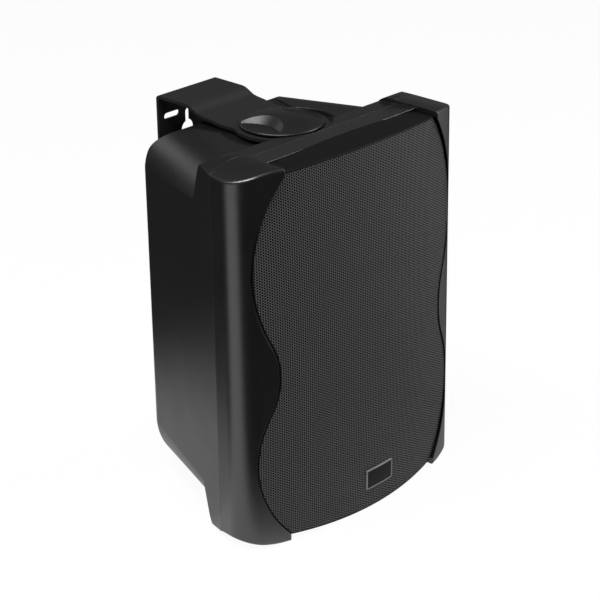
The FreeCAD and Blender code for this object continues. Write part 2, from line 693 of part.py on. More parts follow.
def swivel_recess(grow):
    """Round recess for the bracket's end, wider behind the flange, with a fan-shaped channel to the rear."""
    top = HEIGHT + WALL
    floor = RECESS_FLOOR - grow
    turn = math.radians(SWIVEL_LIMIT)
    reach = BRACKET_HALF + CHANNEL_CLEARANCE + grow
    start = (reach * math.cos(turn), -reach * math.sin(turn))
    run = (REAR_Y * 2) / math.cos(turn)
    end = (start[0] + run * math.sin(turn), start[1] + run * math.cos(turn))
    plan = [vec(start[0], start[1], floor), vec(end[0], end[1], floor), vec(-end[0], end[1], floor),
            vec(-start[0], start[1], floor)]
    fan = Part.Face(Part.makePolygon(plan + [plan[0]])).extrude(Z_AXIS * (top - floor))
    rim = RECESS_RADIUS + grow
    behind_flange = box(-rim, rim, SEAM_Y + FLANGE_DEPTH - grow, rim, floor, top)
    wide = upright(rim, 0, 0, floor, top).common(behind_flange)
    around_disc = upright(BRACKET_DISC_RADIUS + RECESS_DISC_GAP + grow, 0, 0, floor, top)
    return fused([around_disc, wide, fan])


def rear_cabinet():
    body = fused([vault(0, SEAM_Y, REAR_Y), flange_block(0, SEAM_Y)])
    body = body.cut(swivel_recess(0))
    hollow = fused([vault(WALL, SEAM_Y - WALL, REAR_Y - WALL), flange_block(WALL, SEAM_Y - WALL)])
    hollow = hollow.cut(swivel_recess(WALL))
    shell = body.cut(hollow)
    inner = [upright(BOSS_RADIUS, 0, 0, RECESS_FLOOR - BOSS_DEPTH, RECESS_FLOOR - WALL / 2),
             upright(RECESS_BOSS_RADIUS, 0, 0, RECESS_FLOOR - WALL / 2, BOSS_TOP),
             upright(BOSS_RADIUS, 0, 0, WALL / 2, BOSS_DEPTH)]
    for x, z in baffle_screw_places():
        inner.append(level(SCREW_BOSS_RADIUS, x, z, SEAM_Y, SEAM_Y + SCREW_BOSS_DEPTH))
        inner.append(boss_web(x, z, SEAM_Y, SEAM_Y + SCREW_BOSS_DEPTH).common(hollow))
    shell = fused([shell] + inner)
    half_w = TERMINAL_WIDTH / 2 - TERMINAL_RIM + TERMINAL_FIT
    half_h = TERMINAL_HEIGHT / 2 - TERMINAL_RIM + TERMINAL_FIT
    cuts = [upright(INSERT_RADIUS, 0, 0, BOSS_TOP - INSERT_LENGTH, HEIGHT),
            upright(STUD_RADIUS + STUD_FIT, 0, 0, RECESS_FLOOR - BOSS_DEPTH + WALL, RECESS_FLOOR),
            upright(INSERT_RADIUS, 0, 0, -1, INSERT_LENGTH),
            box(-half_w, half_w, REAR_Y - 2 * WALL, REAR_Y + 1, TERMINAL_Z - half_h, TERMINAL_Z + half_h)]
    for x, z in baffle_screw_places():
        cuts.append(level(SCREW_RADIUS, x, z, SEAM_Y - 1, SEAM_Y + SCREW_BOSS_DEPTH - WALL))
    for x, z in terminal_screw_places():
        cuts.append(level(SCREW_RADIUS, x, z, REAR_Y - 2 * WALL, REAR_Y + 1))
    return shell.cut(Part.makeCompound(cuts))


# Bracket and knob

def bracket_corners():
    """Corners (y, z) of the bracket's side view: end disc, rising arm, step up, bend and wall plate."""
    step_end = ARM_STEP_Y + ARM_STEP_RUN
    outer = BRACKET_BEND + BRACKET_THICK
    slant = BRACKET_THICK * math.tan(math.atan2(ARM_STEP, ARM_STEP_RUN) / 2)
    bend = math.sqrt(0.5)
    centre = (PLATE_Y - outer, PLATE_TOP - outer)
    foot = PLATE_TOP - PLATE_DROP
    return {
        "tip_top": (-BRACKET_DISC_RADIUS, ARM_TOP),
        "arm_top": (BRACKET_DISC_RADIUS, ARM_TOP),
        "step_top": (ARM_STEP_Y - slant, STEP_FOOT),
        "rise_top": (step_end - slant, PLATE_TOP),
        "bend_top": (centre[0], PLATE_TOP),
        "bend_mid": (centre[0] + outer * bend, centre[1] + outer * bend),
        "bend_rear": (PLATE_Y, centre[1]),
        "foot_rear": (PLATE_Y, foot),
        "foot_front": (PLATE_Y - BRACKET_THICK, foot),
        "inner_rear": (PLATE_Y - BRACKET_THICK, centre[1]),
        "inner_mid": (centre[0] + BRACKET_BEND * bend, centre[1] + BRACKET_BEND * bend),
        "inner_top": (centre[0], PLATE_TOP - BRACKET_THICK),
        "rise_low": (step_end, PLATE_TOP - BRACKET_THICK),
        "step_low": (ARM_STEP_Y, STEP_FOOT - BRACKET_THICK),
        "arm_low": (BRACKET_DISC_RADIUS, ARM_BOTTOM),
        "tip_low": (-BRACKET_DISC_RADIUS, ARM_BOTTOM),
    }


def bracket_side():
    p = {name: vec(0, y, z) for name, (y, z) in bracket_corners().items()}
    straight = ["tip_top arm_top", "arm_top step_top", "step_top rise_top", "rise_top bend_top",
                "bend_rear foot_rear", "foot_rear foot_front", "foot_front inner_rear",
                "inner_top rise_low", "rise_low step_low", "step_low arm_low", "arm_low tip_low",
                "tip_low tip_top"]
    edges = [line(*[p[name] for name in pair.split()]) for pair in straight]
    edges.append(arc(p["bend_top"], p["bend_mid"], p["bend_rear"]))
    edges.append(arc(p["inner_rear"], p["inner_mid"], p["inner_top"]))
    return face_of(edges)


def edges_across(strip, *names):
    """The edges across the strip through the named corners of its side view."""
    corners = [bracket_corners()[name] for name in names]
    found = []
    for e in strip.Edges:
        c = e.CenterOfMass
        near = [(y, z) for y, z in corners if math.hypot(c.y - y, c.z - z) < FLAT_SKIM]
        if near and e.BoundBox.XLength > BRACKET_HALF:
            found.append(e)
    return found


def slot_cut(x, z):
    """A horizontal screw slot through the wall plate."""
    reach = (SLOT_LENGTH - SLOT_WIDTH) / 2
    y0, y1 = PLATE_Y - 2 * BRACKET_THICK, PLATE_Y + BRACKET_THICK
    ends = [level(SLOT_WIDTH / 2, x + s * reach, z, y0, y1) for s in (1, -1)]
    return fused(ends + [box(x - reach, x + reach, y0, y1, z - SLOT_WIDTH / 2, z + SLOT_WIDTH / 2)])


def wall_bracket():
    strip = bracket_side().extrude(X_AXIS * (2 * BRACKET_DISC_RADIUS))
    strip.translate(vec(-BRACKET_DISC_RADIUS, 0, 0))
    outer_round = ARM_STEP_ROUND + BRACKET_THICK
    strip = strip.makeFillet(outer_round, edges_across(strip, "rise_top", "step_low"))
    strip = strip.makeFillet(ARM_STEP_ROUND, edges_across(strip, "step_top", "rise_low"))
    plan = [upright(BRACKET_DISC_RADIUS, 0, 0, 0, FAR),
            box(-BRACKET_HALF, BRACKET_HALF, 0, PLATE_Y + BRACKET_THICK, 0, FAR)]
    bracket = strip.common(fused(plan))
    foot = PLATE_TOP - PLATE_DROP
    corners = [e for e in bracket.Edges
               if abs(e.CenterOfMass.z - foot) < 0.01 and abs(e.BoundBox.YLength - BRACKET_THICK) < 0.01
               and e.BoundBox.XLength < 0.01]
    bracket = bracket.makeFillet(PLATE_CORNER, corners)
    y0, y1 = PLATE_Y - 2 * BRACKET_THICK, PLATE_Y + BRACKET_THICK
    key_z = PLATE_TOP - KEYHOLE_BELOW_TOP
    cuts = [slot_cut(s * SLOT_SPACING / 2, PLATE_TOP - SLOT_BELOW_TOP) for s in (1, -1)]
    cuts.append(level(KEYHOLE_RADIUS, 0, key_z, y0, y1))
    cuts.append(level(KEYHOLE_SLOT / 2, 0, key_z + KEYHOLE_TRAVEL, y0, y1))
    cuts.append(box(-KEYHOLE_SLOT / 2, KEYHOLE_SLOT / 2, y0, y1, key_z, key_z + KEYHOLE_TRAVEL))
    cuts.append(upright(BRACKET_HOLE_RADIUS, 0, 0, ARM_BOTTOM - 1, ARM_TOP + 1))
    return bracket.cut(fused(cuts))


def friction_washer():
    top = BOSS_TOP + FRICTION_WASHER_THICK
    ring = upright(FRICTION_WASHER_RADIUS, 0, 0, BOSS_TOP, top)
    return ring.cut(upright(BRACKET_HOLE_RADIUS, 0, 0, BOSS_TOP - 1, top + 1))


def swivel_knob():
    """A domed disc with a finger pocket on each side, leaving a waisted grip between them."""
    rim_top = KNOB_BOTTOM + KNOB_RIM_HEIGHT
    sphere_r = (KNOB_RADIUS ** 2 + KNOB_DOME ** 2) / (2 * KNOB_DOME)
    sphere = Part.makeSphere(sphere_r, vec(0, 0, rim_top + KNOB_DOME - sphere_r))
    disc = upright(KNOB_RADIUS, 0, 0, KNOB_BOTTOM, rim_top + KNOB_DOME).common(sphere)
    rim = [e for e in disc.Edges
           if abs(e.CenterOfMass.z - rim_top) < KNOB_EDGE / 2 and e.BoundBox.XLength > KNOB_RADIUS]
    disc = disc.makeFillet(KNOB_EDGE, rim)
    floor = KNOB_BOTTOM + KNOB_POCKET_FLOOR
    scoop = upright(KNOB_RADIUS - KNOB_LIP, 0, 0, floor, rim_top + KNOB_DOME + 1)
    for s in (1, -1):
        disc = disc.cut(scoop.common(upright(KNOB_POCKET_RADIUS, s * KNOB_POCKET_X, 0, floor, FAR)))
    hub = upright(KNOB_HUB_RADIUS, 0, 0, ARM_TOP + KNOB_HUB_PLAY, KNOB_BOTTOM + KNOB_POCKET_FLOOR)
    socket = upright(STUD_HEAD_RADIUS, 0, 0, ARM_TOP, KNOB_BOTTOM + STUD_HEAD_THICK)
    return fused([disc, hub]).cut(socket)


def knob_stud():
    head = upright(STUD_HEAD_RADIUS, 0, 0, KNOB_BOTTOM, KNOB_BOTTOM + STUD_HEAD_THICK)
    return head.fuse(upright(STUD_RADIUS, 0, 0, KNOB_BOTTOM - STUD_LENGTH, KNOB_BOTTOM)).removeSplitter()


def threaded_insert(z0, z1):
    return upright(INSERT_RADIUS, 0, 0, z0, z1).cut(upright(STUD_RADIUS + STUD_FIT, 0, 0, z0 - 1, z1 + 1))


# Woofer: depths are counted from the front face of the basket's flange

WOOFER_FACE = BOARD_Y - GASKET_THICK - BASKET_SHEET
BASKET_FLOOR = BASKET_DEPTH
TOP_PLATE_REAR = BASKET_FLOOR + TOP_PLATE_THICK
MAGNET_REAR = TOP_PLATE_REAR + MAGNET_THICK
YOKE_REAR = MAGNET_REAR + YOKE_THICK
FORMER_OUTER = COIL_RADIUS + FORMER_SKIN
COIL_OUTER = FORMER_OUTER + COIL_SKIN
GAP_OUTER = COIL_OUTER + MAGNET_GAP
POLE_RADIUS = COIL_RADIUS - MAGNET_GAP
SPIDER_DEPTH = BASKET_FLOOR - BASKET_SHEET - SPIDER_HEIGHT


def woofer_part(points):
    return turned_profile(points, 0, WOOFER_Z, WOOFER_FACE)


def woofer_basket():
    t = BASKET_SHEET
    inner = WOOFER_HOLE_RADIUS - 2 * t
    shelf = SPIDER_OUTER + SURROUND_LIP
    shelf_d = SPIDER_DEPTH + SPIDER_SKIN
    points = [(WOOFER_RADIUS, 0), (WOOFER_RADIUS, t), (inner, t), (BASKET_FLOOR_RADIUS + t, shelf_d + t),
              (BASKET_FLOOR_RADIUS + t, BASKET_FLOOR), (GAP_OUTER + t, BASKET_FLOOR),
              (GAP_OUTER + t, BASKET_FLOOR - t), (shelf - SURROUND_LIP / 2, BASKET_FLOOR - t),
              (shelf - SURROUND_LIP / 2, shelf_d), (shelf + t, shelf_d), (inner - t, t),
              (SURROUND_OUTER - 2 * t, 0)]
    basket = woofer_part(points)
    cuts = []
    for dx, dz in woofer_screw_offsets():
        cuts.append(level(SCREW_RADIUS + SCREW_HOLE, dx, WOOFER_Z + dz, WOOFER_FACE - 1, BOARD_Y))
    window = woofer_part([(inner + 2 * t, 3 * t), (inner + 2 * t, shelf_d - t),
                          (BASKET_FLOOR_RADIUS, shelf_d - t), (BASKET_FLOOR_RADIUS, 3 * t)])
    for x, z in around(BASKET_WINDOWS, 1.0):
        side = BASKET_SPOKE / 2
        spoke = box(0, WOOFER_RADIUS, WOOFER_FACE, WOOFER_FACE + BASKET_DEPTH, -side, side)
        spoke.rotate(vec(0, 0, 0), Y_AXIS, -math.degrees(math.atan2(z, x)))
        spoke.translate(vec(0, 0, WOOFER_Z))
        window = window.cut(spoke)
    return basket.cut(Part.makeCompound(cuts)).cut(window)


def woofer_gasket():
    front = BOARD_Y - GASKET_THICK
    ring = level(WOOFER_RADIUS, 0, WOOFER_Z, front, BOARD_Y)
    cuts = [level(WOOFER_HOLE_RADIUS, 0, WOOFER_Z, front - 1, BOARD_Y + 1)]
    for dx, dz in woofer_screw_offsets():
        cuts.append(level(SCREW_RADIUS + SCREW_HOLE, dx, WOOFER_Z + dz, front - 1, BOARD_Y + 1))
    return ring.cut(Part.makeCompound(cuts))


def woofer_surround():
    """A half roll between the basket's flange and the rim of the cone."""
    t = SURROUND_SKIN
    outer = SURROUND_OUTER
    mid = outer - SURROUND_ROLL
    inner = mid - SURROUND_ROLL
    lip_in = CONE_RADIUS - SURROUND_LIP
    lip_out = WOOFER_SCREW_CIRCLE - SCREW_HEAD_RADIUS - SURROUND_GAP
    r_out, r_in = SURROUND_ROLL, SURROUND_ROLL - t

    def roll(radius, start, end):
        return arc(vec(start, -t / 2, 0), vec(mid, -t / 2 - radius, 0), vec(end, -t / 2, 0))
    path = [vec(outer, -t / 2, 0), vec(lip_out, -t / 2, 0), vec(lip_out, 0, 0), vec(outer - t, 0, 0),
            vec(outer - t, -t / 2, 0)]
    inside = [vec(inner + t, -t / 2, 0), vec(inner + t, 0, 0), vec(lip_in, 0, 0), vec(lip_in, -t / 2, 0),
              vec(inner, -t / 2, 0)]
    edges = [roll(r_out, inner, outer), roll(r_in, inner + t, outer - t)]
    for run in (path, inside):
        edges += [line(a, b) for a, b in zip(run, run[1:])]
    return turned_face(edges, 0, WOOFER_Z, WOOFER_FACE)


def woofer_cone():
    t = CONE_SKIN
    lip = CONE_RADIUS - SURROUND_LIP * 2
    neck = FORMER_OUTER + t
    return woofer_part([(CONE_RADIUS - SURROUND_SKIN, 0.05), (CONE_RADIUS - SURROUND_SKIN, t), (lip, t),
                        (neck, CONE_DEPTH + t), (FORMER_OUTER, CONE_DEPTH + t), (FORMER_OUTER, CONE_DEPTH),
                        (neck, CONE_DEPTH - t), (lip, 0.05)])


def dust_cap():
    """A shallow dome glued to the cone."""
    lip = CONE_RADIUS - SURROUND_LIP * 2
    slope = (CONE_DEPTH - CONE_SKIN) / (lip - FORMER_OUTER - CONE_SKIN)
    seat = (lip - DUST_CAP_RADIUS) * slope - CONE_SKIN / 2
    sphere_r = (DUST_CAP_RADIUS ** 2 + DUST_CAP_RISE ** 2) / (2 * DUST_CAP_RISE)
    edges = []
    ends = []
    for r in (sphere_r, sphere_r - CONE_SKIN):
        turn = math.asin(DUST_CAP_RADIUS / sphere_r)
        apex = seat - DUST_CAP_RISE + sphere_r
        rim = vec(r * math.sin(turn), apex - r * math.cos(turn), 0)
        mid = vec(r * math.sin(turn / 2), apex - r * math.cos(turn / 2), 0)
        top = vec(0, apex - r, 0)
        edges.append(arc(rim, mid, top))
        ends.append((rim, top))
    edges.append(line(ends[0][0], ends[1][0]))
    edges.append(line(ends[0][1], ends[1][1]))
    return turned_face(edges, 0, WOOFER_Z, WOOFER_FACE)


def voice_coil():
    end = BASKET_FLOOR + TOP_PLATE_THICK / 2 + COIL_LENGTH / 2
    start = end - COIL_LENGTH
    return woofer_part([(COIL_RADIUS, CONE_DEPTH), (FORMER_OUTER, CONE_DEPTH), (FORMER_OUTER, start),
                        (COIL_OUTER, start), (COIL_OUTER, end), (COIL_RADIUS, end)])


def spider():
    """A corrugated disc between the coil former and the basket's inner shelf."""
    t = SPIDER_SKIN
    count = 6
    inner = FORMER_OUTER
    outer = SPIDER_OUTER + SURROUND_LIP
    flat = outer - SURROUND_LIP
    step = (flat - inner) / (2 * count)
    upper = [(inner, SPIDER_DEPTH)]
    for i in range(1, 2 * count):
        upper.append((inner + step * i, SPIDER_DEPTH + (SPIDER_RIPPLE if i % 2 else -SPIDER_RIPPLE) / 2))
    upper += [(flat, SPIDER_DEPTH), (outer, SPIDER_DEPTH)]
    return woofer_part(upper + [(r, d + t) for r, d in reversed(upper)])


def top_plate():
    return woofer_part([(GAP_OUTER, BASKET_FLOOR), (TOP_PLATE_RADIUS, BASKET_FLOOR),
                        (TOP_PLATE_RADIUS, TOP_PLATE_REAR), (GAP_OUTER, TOP_PLATE_REAR)])


def magnet_ring():
    return woofer_part([(MAGNET_BORE, TOP_PLATE_REAR), (MAGNET_RADIUS, TOP_PLATE_REAR),
                        (MAGNET_RADIUS, MAGNET_REAR), (MAGNET_BORE, MAGNET_REAR)])


def t_yoke():
    chamfer = YOKE_THICK / 3
    return woofer_part([(0, BASKET_FLOOR), (POLE_RADIUS, BASKET_FLOOR), (POLE_RADIUS, MAGNET_REAR),
                        (TOP_PLATE_RADIUS, MAGNET_REAR), (TOP_PLATE_RADIUS, YOKE_REAR - chamfer),
                        (TOP_PLATE_RADIUS - chamfer, YOKE_REAR), (0, YOKE_REAR)])


def ring_of_screws(offsets, z, y, length):
    return Part.makeCompound([screw(dx, z + dz, y, length) for dx, dz in offsets])


# Tweeter: depths are counted from the front face of its plate

TWEETER_FACE = BOARD_Y - TWEETER_PLATE_THICK
TWEETER_BACK = TWEETER_HORN_DEPTH + TWEETER_SKIN
DOME_SEAT = TWEETER_HORN_DEPTH


def tweeter_faceplate():
    """A round plate with a shallow horn sunk into it."""
    edge = TWEETER_PLATE_THICK / 2
    points = [(TWEETER_RADIUS, edge), (TWEETER_RADIUS, TWEETER_PLATE_THICK),
              (TWEETER_MOTOR_RADIUS, TWEETER_PLATE_THICK), (TWEETER_MOTOR_RADIUS, TWEETER_BACK),
              (TWEETER_THROAT, TWEETER_BACK), (TWEETER_THROAT, TWEETER_HORN_DEPTH)]
    corners = [vec(r, d, 0) for r, d in points]
    mouth = vec(TWEETER_HORN_RADIUS, 0, 0)
    rim = vec(TWEETER_RADIUS - edge, 0, 0)
    edges = [line(a, b) for a, b in zip(corners, corners[1:])]
    bulge = vec((TWEETER_HORN_RADIUS + TWEETER_THROAT) * 0.47, TWEETER_HORN_DEPTH * 0.62, 0)
    edges.append(arc(corners[-1], bulge, mouth))
    edges.append(line(mouth, rim))
    edges.append(line(rim, corners[0]))
    plate = turned_face(edges, 0, TWEETER_Z, TWEETER_FACE)
    holes = [level(SCREW_RADIUS + SCREW_HOLE, dx, TWEETER_Z + dz, TWEETER_FACE - 1, BOARD_Y + 1)
             for dx, dz in tweeter_screw_offsets()]
    return plate.cut(Part.makeCompound(holes))


def tweeter_motor():
    front = TWEETER_BACK
    rear = front + TWEETER_MOTOR_THICK
    gap_in, gap_out = TWEETER_POLE_RADIUS, TWEETER_POLE_RADIUS + TWEETER_MOTOR_GAP
    points = [(0, front), (gap_in, front), (gap_in, front + TWEETER_MOTOR_GAP_DEPTH),
              (gap_out, front + TWEETER_MOTOR_GAP_DEPTH), (gap_out, front), (TWEETER_MOTOR_RADIUS, front),
              (TWEETER_MOTOR_RADIUS, rear), (0, rear)]
    return turned_profile(points, 0, TWEETER_Z, TWEETER_FACE)


def tweeter_dome():
    """A soft dome with the short former of its voice coil."""
    sphere_r = (DOME_RADIUS ** 2 + DOME_RISE ** 2) / (2 * DOME_RISE)
    turn = math.asin(DOME_RADIUS / sphere_r)
    apex = DOME_SEAT - DOME_RISE + sphere_r
    edges = []
    tops = []
    for r in (sphere_r, sphere_r - DOME_SKIN):
        angle = math.asin(min(1.0, (DOME_RADIUS - (sphere_r - r)) / r))
        rim = vec(r * math.sin(angle), apex - r * math.cos(angle), 0)
        mid = vec(r * math.sin(angle / 2), apex - r * math.cos(angle / 2), 0)
        top = vec(0, apex - r, 0)
        edges.append(arc(rim, mid, top))
        tops.append((rim, top))
    skirt = TWEETER_BACK + DOME_SKIRT
    outer_foot = vec(tops[0][0].x, skirt, 0)
    inner_foot = vec(tops[1][0].x, skirt, 0)
    edges.append(line(tops[0][0], outer_foot))
    edges.append(line(outer_foot, inner_foot))
    edges.append(line(inner_foot, tops[1][0]))
    edges.append(line(tops[0][1], tops[1][1]))
    return turned_face(edges, 0, TWEETER_Z, TWEETER_FACE)


def port_tube():
    flare = PORT_FLANGE_THICK
    points = [(PORT_FLANGE_RADIUS, -flare / 2), (PORT_FLANGE_RADIUS, 0), (PORT_RADIUS + PORT_SKIN, 0),
              (PORT_RADIUS + PORT_SKIN, PORT_LENGTH), (PORT_RADIUS, PORT_LENGTH), (PORT_RADIUS, flare)]
    corners = [vec(r, d, 0) for r, d in points]
    edges = [line(a, b) for a, b in zip(corners, corners[1:])]
    lip = vec(PORT_FLANGE_RADIUS - flare, -flare, 0)
    edges.append(arc(corners[-1], vec(PORT_RADIUS + flare * 0.8, -flare * 0.4, 0), lip))
    edges.append(line(lip, corners[0]))
    return turned_face(edges, PORT_X, port_height(), BOARD_Y)


# Terminal cup and crossover

def rounded_plate(width, height, y0, y1, radius):
    plate = box(-width / 2, width / 2, y0, y1, TERMINAL_Z - height / 2, TERMINAL_Z + height / 2)
    return plate.makeFillet(radius, [e for e in plate.Edges if e.BoundBox.YLength > (y1 - y0) / 2])


def terminal_screw_places():
    x = (TERMINAL_WIDTH - TERMINAL_RIM) / 2
    z = (TERMINAL_HEIGHT - TERMINAL_RIM) / 2
    return [(sx * x, TERMINAL_Z + sz * z) for sx in (1, -1) for sz in (1, -1)]


def lever_centres():
    return [-LEVER_SPACING / 2, LEVER_SPACING / 2]


LEVER_PIN_Z = TERMINAL_Z + LEVER_HEIGHT / 2 - LEVER_THICK / 2
CUP_FLOOR = REAR_Y - TERMINAL_DEPTH + TERMINAL_SKIN
LEVER_Y = CUP_FLOOR + LEVER_FLOOR_GAP + LEVER_THICK / 2
CUP_BACK = REAR_Y - TERMINAL_DEPTH
PCB_REAR = CUP_BACK - PCB_STANDOFF
PCB_FRONT = PCB_REAR - PCB_THICK


def terminal_cup():
    """A moulded cup sunk into the rear wall, with cheeks and pins for the two levers."""
    face = REAR_Y + TERMINAL_FLANGE
    plate = rounded_plate(TERMINAL_WIDTH, TERMINAL_HEIGHT, REAR_Y, face, TERMINAL_CORNER)
    well_w = TERMINAL_WIDTH - 2 * TERMINAL_RIM
    well_h = TERMINAL_HEIGHT - 2 * TERMINAL_RIM
    well = rounded_plate(well_w, well_h, CUP_BACK, REAR_Y + TERMINAL_FLANGE / 2, TERMINAL_SKIN)
    skins = 2 * TERMINAL_SKIN
    inside = rounded_plate(well_w - skins, well_h - skins, CUP_FLOOR, face + 1, TERMINAL_SKIN)
    cup = fused([plate, well]).cut(inside)
    extra = []
    reach = LEVER_WIDTH / 2 + LEVER_SIDE_GAP
    for x in lever_centres():
        for s in (1, -1):
            ends = sorted((x + s * reach, x + s * (reach + LEVER_CHEEK)))
            extra.append(box(ends[0], ends[1], CUP_FLOOR - TERMINAL_SKIN / 2, LEVER_Y + LEVER_THICK,
                             LEVER_PIN_Z - LEVER_THICK, LEVER_PIN_Z + LEVER_THICK))
        pin_end = vec(x - reach, LEVER_Y, LEVER_PIN_Z)
        extra.append(Part.makeCylinder(LEVER_PIN_RADIUS, 2 * reach, pin_end, X_AXIS))
    for x, z in pcb_post_places():
        extra.append(level(PCB_POST_RADIUS, x, z, PCB_REAR, CUP_BACK + TERMINAL_SKIN / 2))
    cup = fused([cup] + extra)
    holes = [level(SCREW_RADIUS + SCREW_HOLE, x, z, REAR_Y - 1, face + 1) for x, z in terminal_screw_places()]
    for x in lever_centres():
        holes.append(level(WIRE_HOLE_RADIUS, x, TERMINAL_Z - WIRE_HOLE_DROP, CUP_BACK - 1, CUP_FLOOR + 1))
    for x, z in pcb_post_places():
        holes.append(level(SCREW_RADIUS, x, z, PCB_REAR - 1, CUP_BACK))
    return cup.cut(Part.makeCompound(holes))


def terminal_lever(x):
    """A spring lever turning on the cup's pin, its lower end pressed to open the clamp."""
    w = LEVER_WIDTH / 2
    round_r = LEVER_THICK / 2
    top = LEVER_PIN_Z
    foot = LEVER_PIN_Z - LEVER_HEIGHT + round_r
    arm = box(x - w, x + w, LEVER_Y - round_r, LEVER_Y + round_r, foot, top)
    toe = box(x - w, x + w, LEVER_Y - round_r, LEVER_Y + LEVER_THICK, foot, foot + LEVER_THICK)
    toe = toe.makeFillet(LEVER_THICK / 4, [e for e in toe.Edges if e.BoundBox.XLength > w])
    eye = Part.makeCylinder(round_r, LEVER_WIDTH, vec(x - w, LEVER_Y, top), X_AXIS)
    bore_end = vec(x - w - 1, LEVER_Y, top)
    bore = Part.makeCylinder(LEVER_PIN_RADIUS + LEVER_PIN_FIT, LEVER_WIDTH + 2, bore_end, X_AXIS)
    return fused([arm, toe, eye]).cut(bore)


def pcb_post_places():
    x = (TERMINAL_WIDTH - 2 * TERMINAL_RIM) / 2 - PCB_POST_INSET
    z = (TERMINAL_HEIGHT - 2 * TERMINAL_RIM) / 2 - PCB_POST_INSET
    return [(x, TERMINAL_Z + z), (-x, TERMINAL_Z - z)]


def crossover_board():
    board = box(-PCB_WIDTH / 2, PCB_WIDTH / 2, PCB_FRONT, PCB_REAR, TERMINAL_Z - PCB_HEIGHT / 2,
                TERMINAL_Z + PCB_HEIGHT / 2)
    hole = SCREW_RADIUS + SCREW_HOLE
    holes = [level(hole, x, z, PCB_FRONT - 1, PCB_REAR + 1) for x, z in pcb_post_places()]
    return board.cut(Part.makeCompound(holes))


def crossover_choke():
    """A round air-core coil standing on the board."""
    x = -PCB_WIDTH / 2 + CHOKE_RADIUS
    z = TERMINAL_Z + PCB_HEIGHT / 2 - CHOKE_RADIUS
    ring = level(CHOKE_RADIUS, x, z, PCB_FRONT - CHOKE_HEIGHT, PCB_FRONT)
    return ring.cut(level(CHOKE_BORE, x, z, PCB_FRONT - CHOKE_HEIGHT - 1, PCB_FRONT + 1))


def crossover_capacitors():
    """Two film capacitors lying side by side on the board."""
    solids = []
    x0 = PCB_WIDTH / 2 - CAPACITOR_LENGTH - PCB_EDGE
    for i in range(2):
        z = TERMINAL_Z - PCB_HEIGHT / 2 + CAPACITOR_RADIUS * (2.2 * i + 1.1)
        end = vec(x0, PCB_FRONT - CAPACITOR_RADIUS, z)
        solids.append(Part.makeCylinder(CAPACITOR_RADIUS, CAPACITOR_LENGTH, end, X_AXIS))
    return Part.makeCompound(solids)


def crossover_resistor():
    z = TERMINAL_Z - PCB_HEIGHT / 2 + PCB_EDGE
    x = min(px for px, pz in pcb_post_places()) + SCREW_HEAD_RADIUS + PCB_EDGE
    block = box(x, x + RESISTOR_LENGTH, PCB_FRONT - RESISTOR_SIZE, PCB_FRONT, z, z + RESISTOR_SIZE)
    return block.makeChamfer(RESISTOR_SIZE / 10, [e for e in block.Edges if e.BoundBox.XLength > 1])


def damping_pad():
    """A block of wadding against the inside of the rear wall."""
    rear = REAR_Y - WALL - PAD_GAP
    half = cabinet_half(rear) - PAD_SIDE - SHOULDER_RUN / 2
    return box(-half, half, rear - PAD_THICK, rear, PAD_BOTTOM, PAD_BOTTOM + PAD_HEIGHT)


def nodes():
    baffle_screws = [screw(x, z, BOARD_Y, BAFFLE_SCREW_LENGTH) for x, z in baffle_screw_places()]
    terminal_screws = [screw(x, z, REAR_Y + TERMINAL_FLANGE, TERMINAL_SCREW_LENGTH, facing=-1)
                       for x, z in terminal_screw_places()]
    board_screws = [screw(x, z, PCB_FRONT, PCB_SCREW_LENGTH) for x, z in pcb_post_places()]
    left, right = lever_centres()
    return {
        "rear_cabinet": rear_cabinet(),
        "front_baffle": front_baffle(),
        "grille": grille(),
        "grille_cloth": grille_cloth(),
        "badge_plate": badge_plate(),
        "wall_bracket": wall_bracket(),
        "friction_washer": friction_washer(),
        "swivel_knob": swivel_knob(),
        "knob_stud": knob_stud(),
        "pivot_insert": threaded_insert(BOSS_TOP - INSERT_LENGTH, BOSS_TOP),
        "lower_insert": threaded_insert(0, INSERT_LENGTH),
        "baffle_screws": Part.makeCompound(baffle_screws),
        "woofer_basket": woofer_basket(),
        "woofer_gasket": woofer_gasket(),
        "woofer_surround": woofer_surround(),
        "woofer_cone": woofer_cone(),
        "dust_cap": dust_cap(),
        "voice_coil": voice_coil(),
        "spider": spider(),
        "top_plate": top_plate(),
        "magnet_ring": magnet_ring(),
        "t_yoke": t_yoke(),
        "woofer_screws": ring_of_screws(woofer_screw_offsets(), WOOFER_Z, WOOFER_FACE, WOOFER_SCREW_LENGTH),
        "tweeter_faceplate": tweeter_faceplate(),
        "tweeter_motor": tweeter_motor(),
        "tweeter_dome": tweeter_dome(),
        "tweeter_screws": ring_of_screws(tweeter_screw_offsets(), TWEETER_Z, TWEETER_FACE,
                                         TWEETER_SCREW_LENGTH),
        "port_tube": port_tube(),
        "terminal_cup": terminal_cup(),
        "terminal_lever_plus": terminal_lever(left),
        "terminal_lever_minus": terminal_lever(right),
        "terminal_screws": Part.makeCompound(terminal_screws),
        "crossover_board": crossover_board(),
        "crossover_choke": crossover_choke(),
        "crossover_capacitors": crossover_capacitors(),
        "crossover_resistor": crossover_resistor(),
        "crossover_screws": Part.makeCompound(board_screws),
        "damping_pad": damping_pad(),
    }


def main():
    os.makedirs("parts", exist_ok=True)
    for name, shape in nodes().items():
        shape.exportStep("parts/" + name + ".step")
        state = (name, len(shape.Solids), shape.isValid(), shape.Volume)
        print("%-22s solids %d, valid %s, %.0f mm3" % state)


if __name__ == "__main__":
    main()
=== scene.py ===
"""Looks of a black two-way wall loudspeaker on its swivel bracket, with a pale studio and a camera."""

import json
import math

import bpy
from mathutils import Matrix, Vector


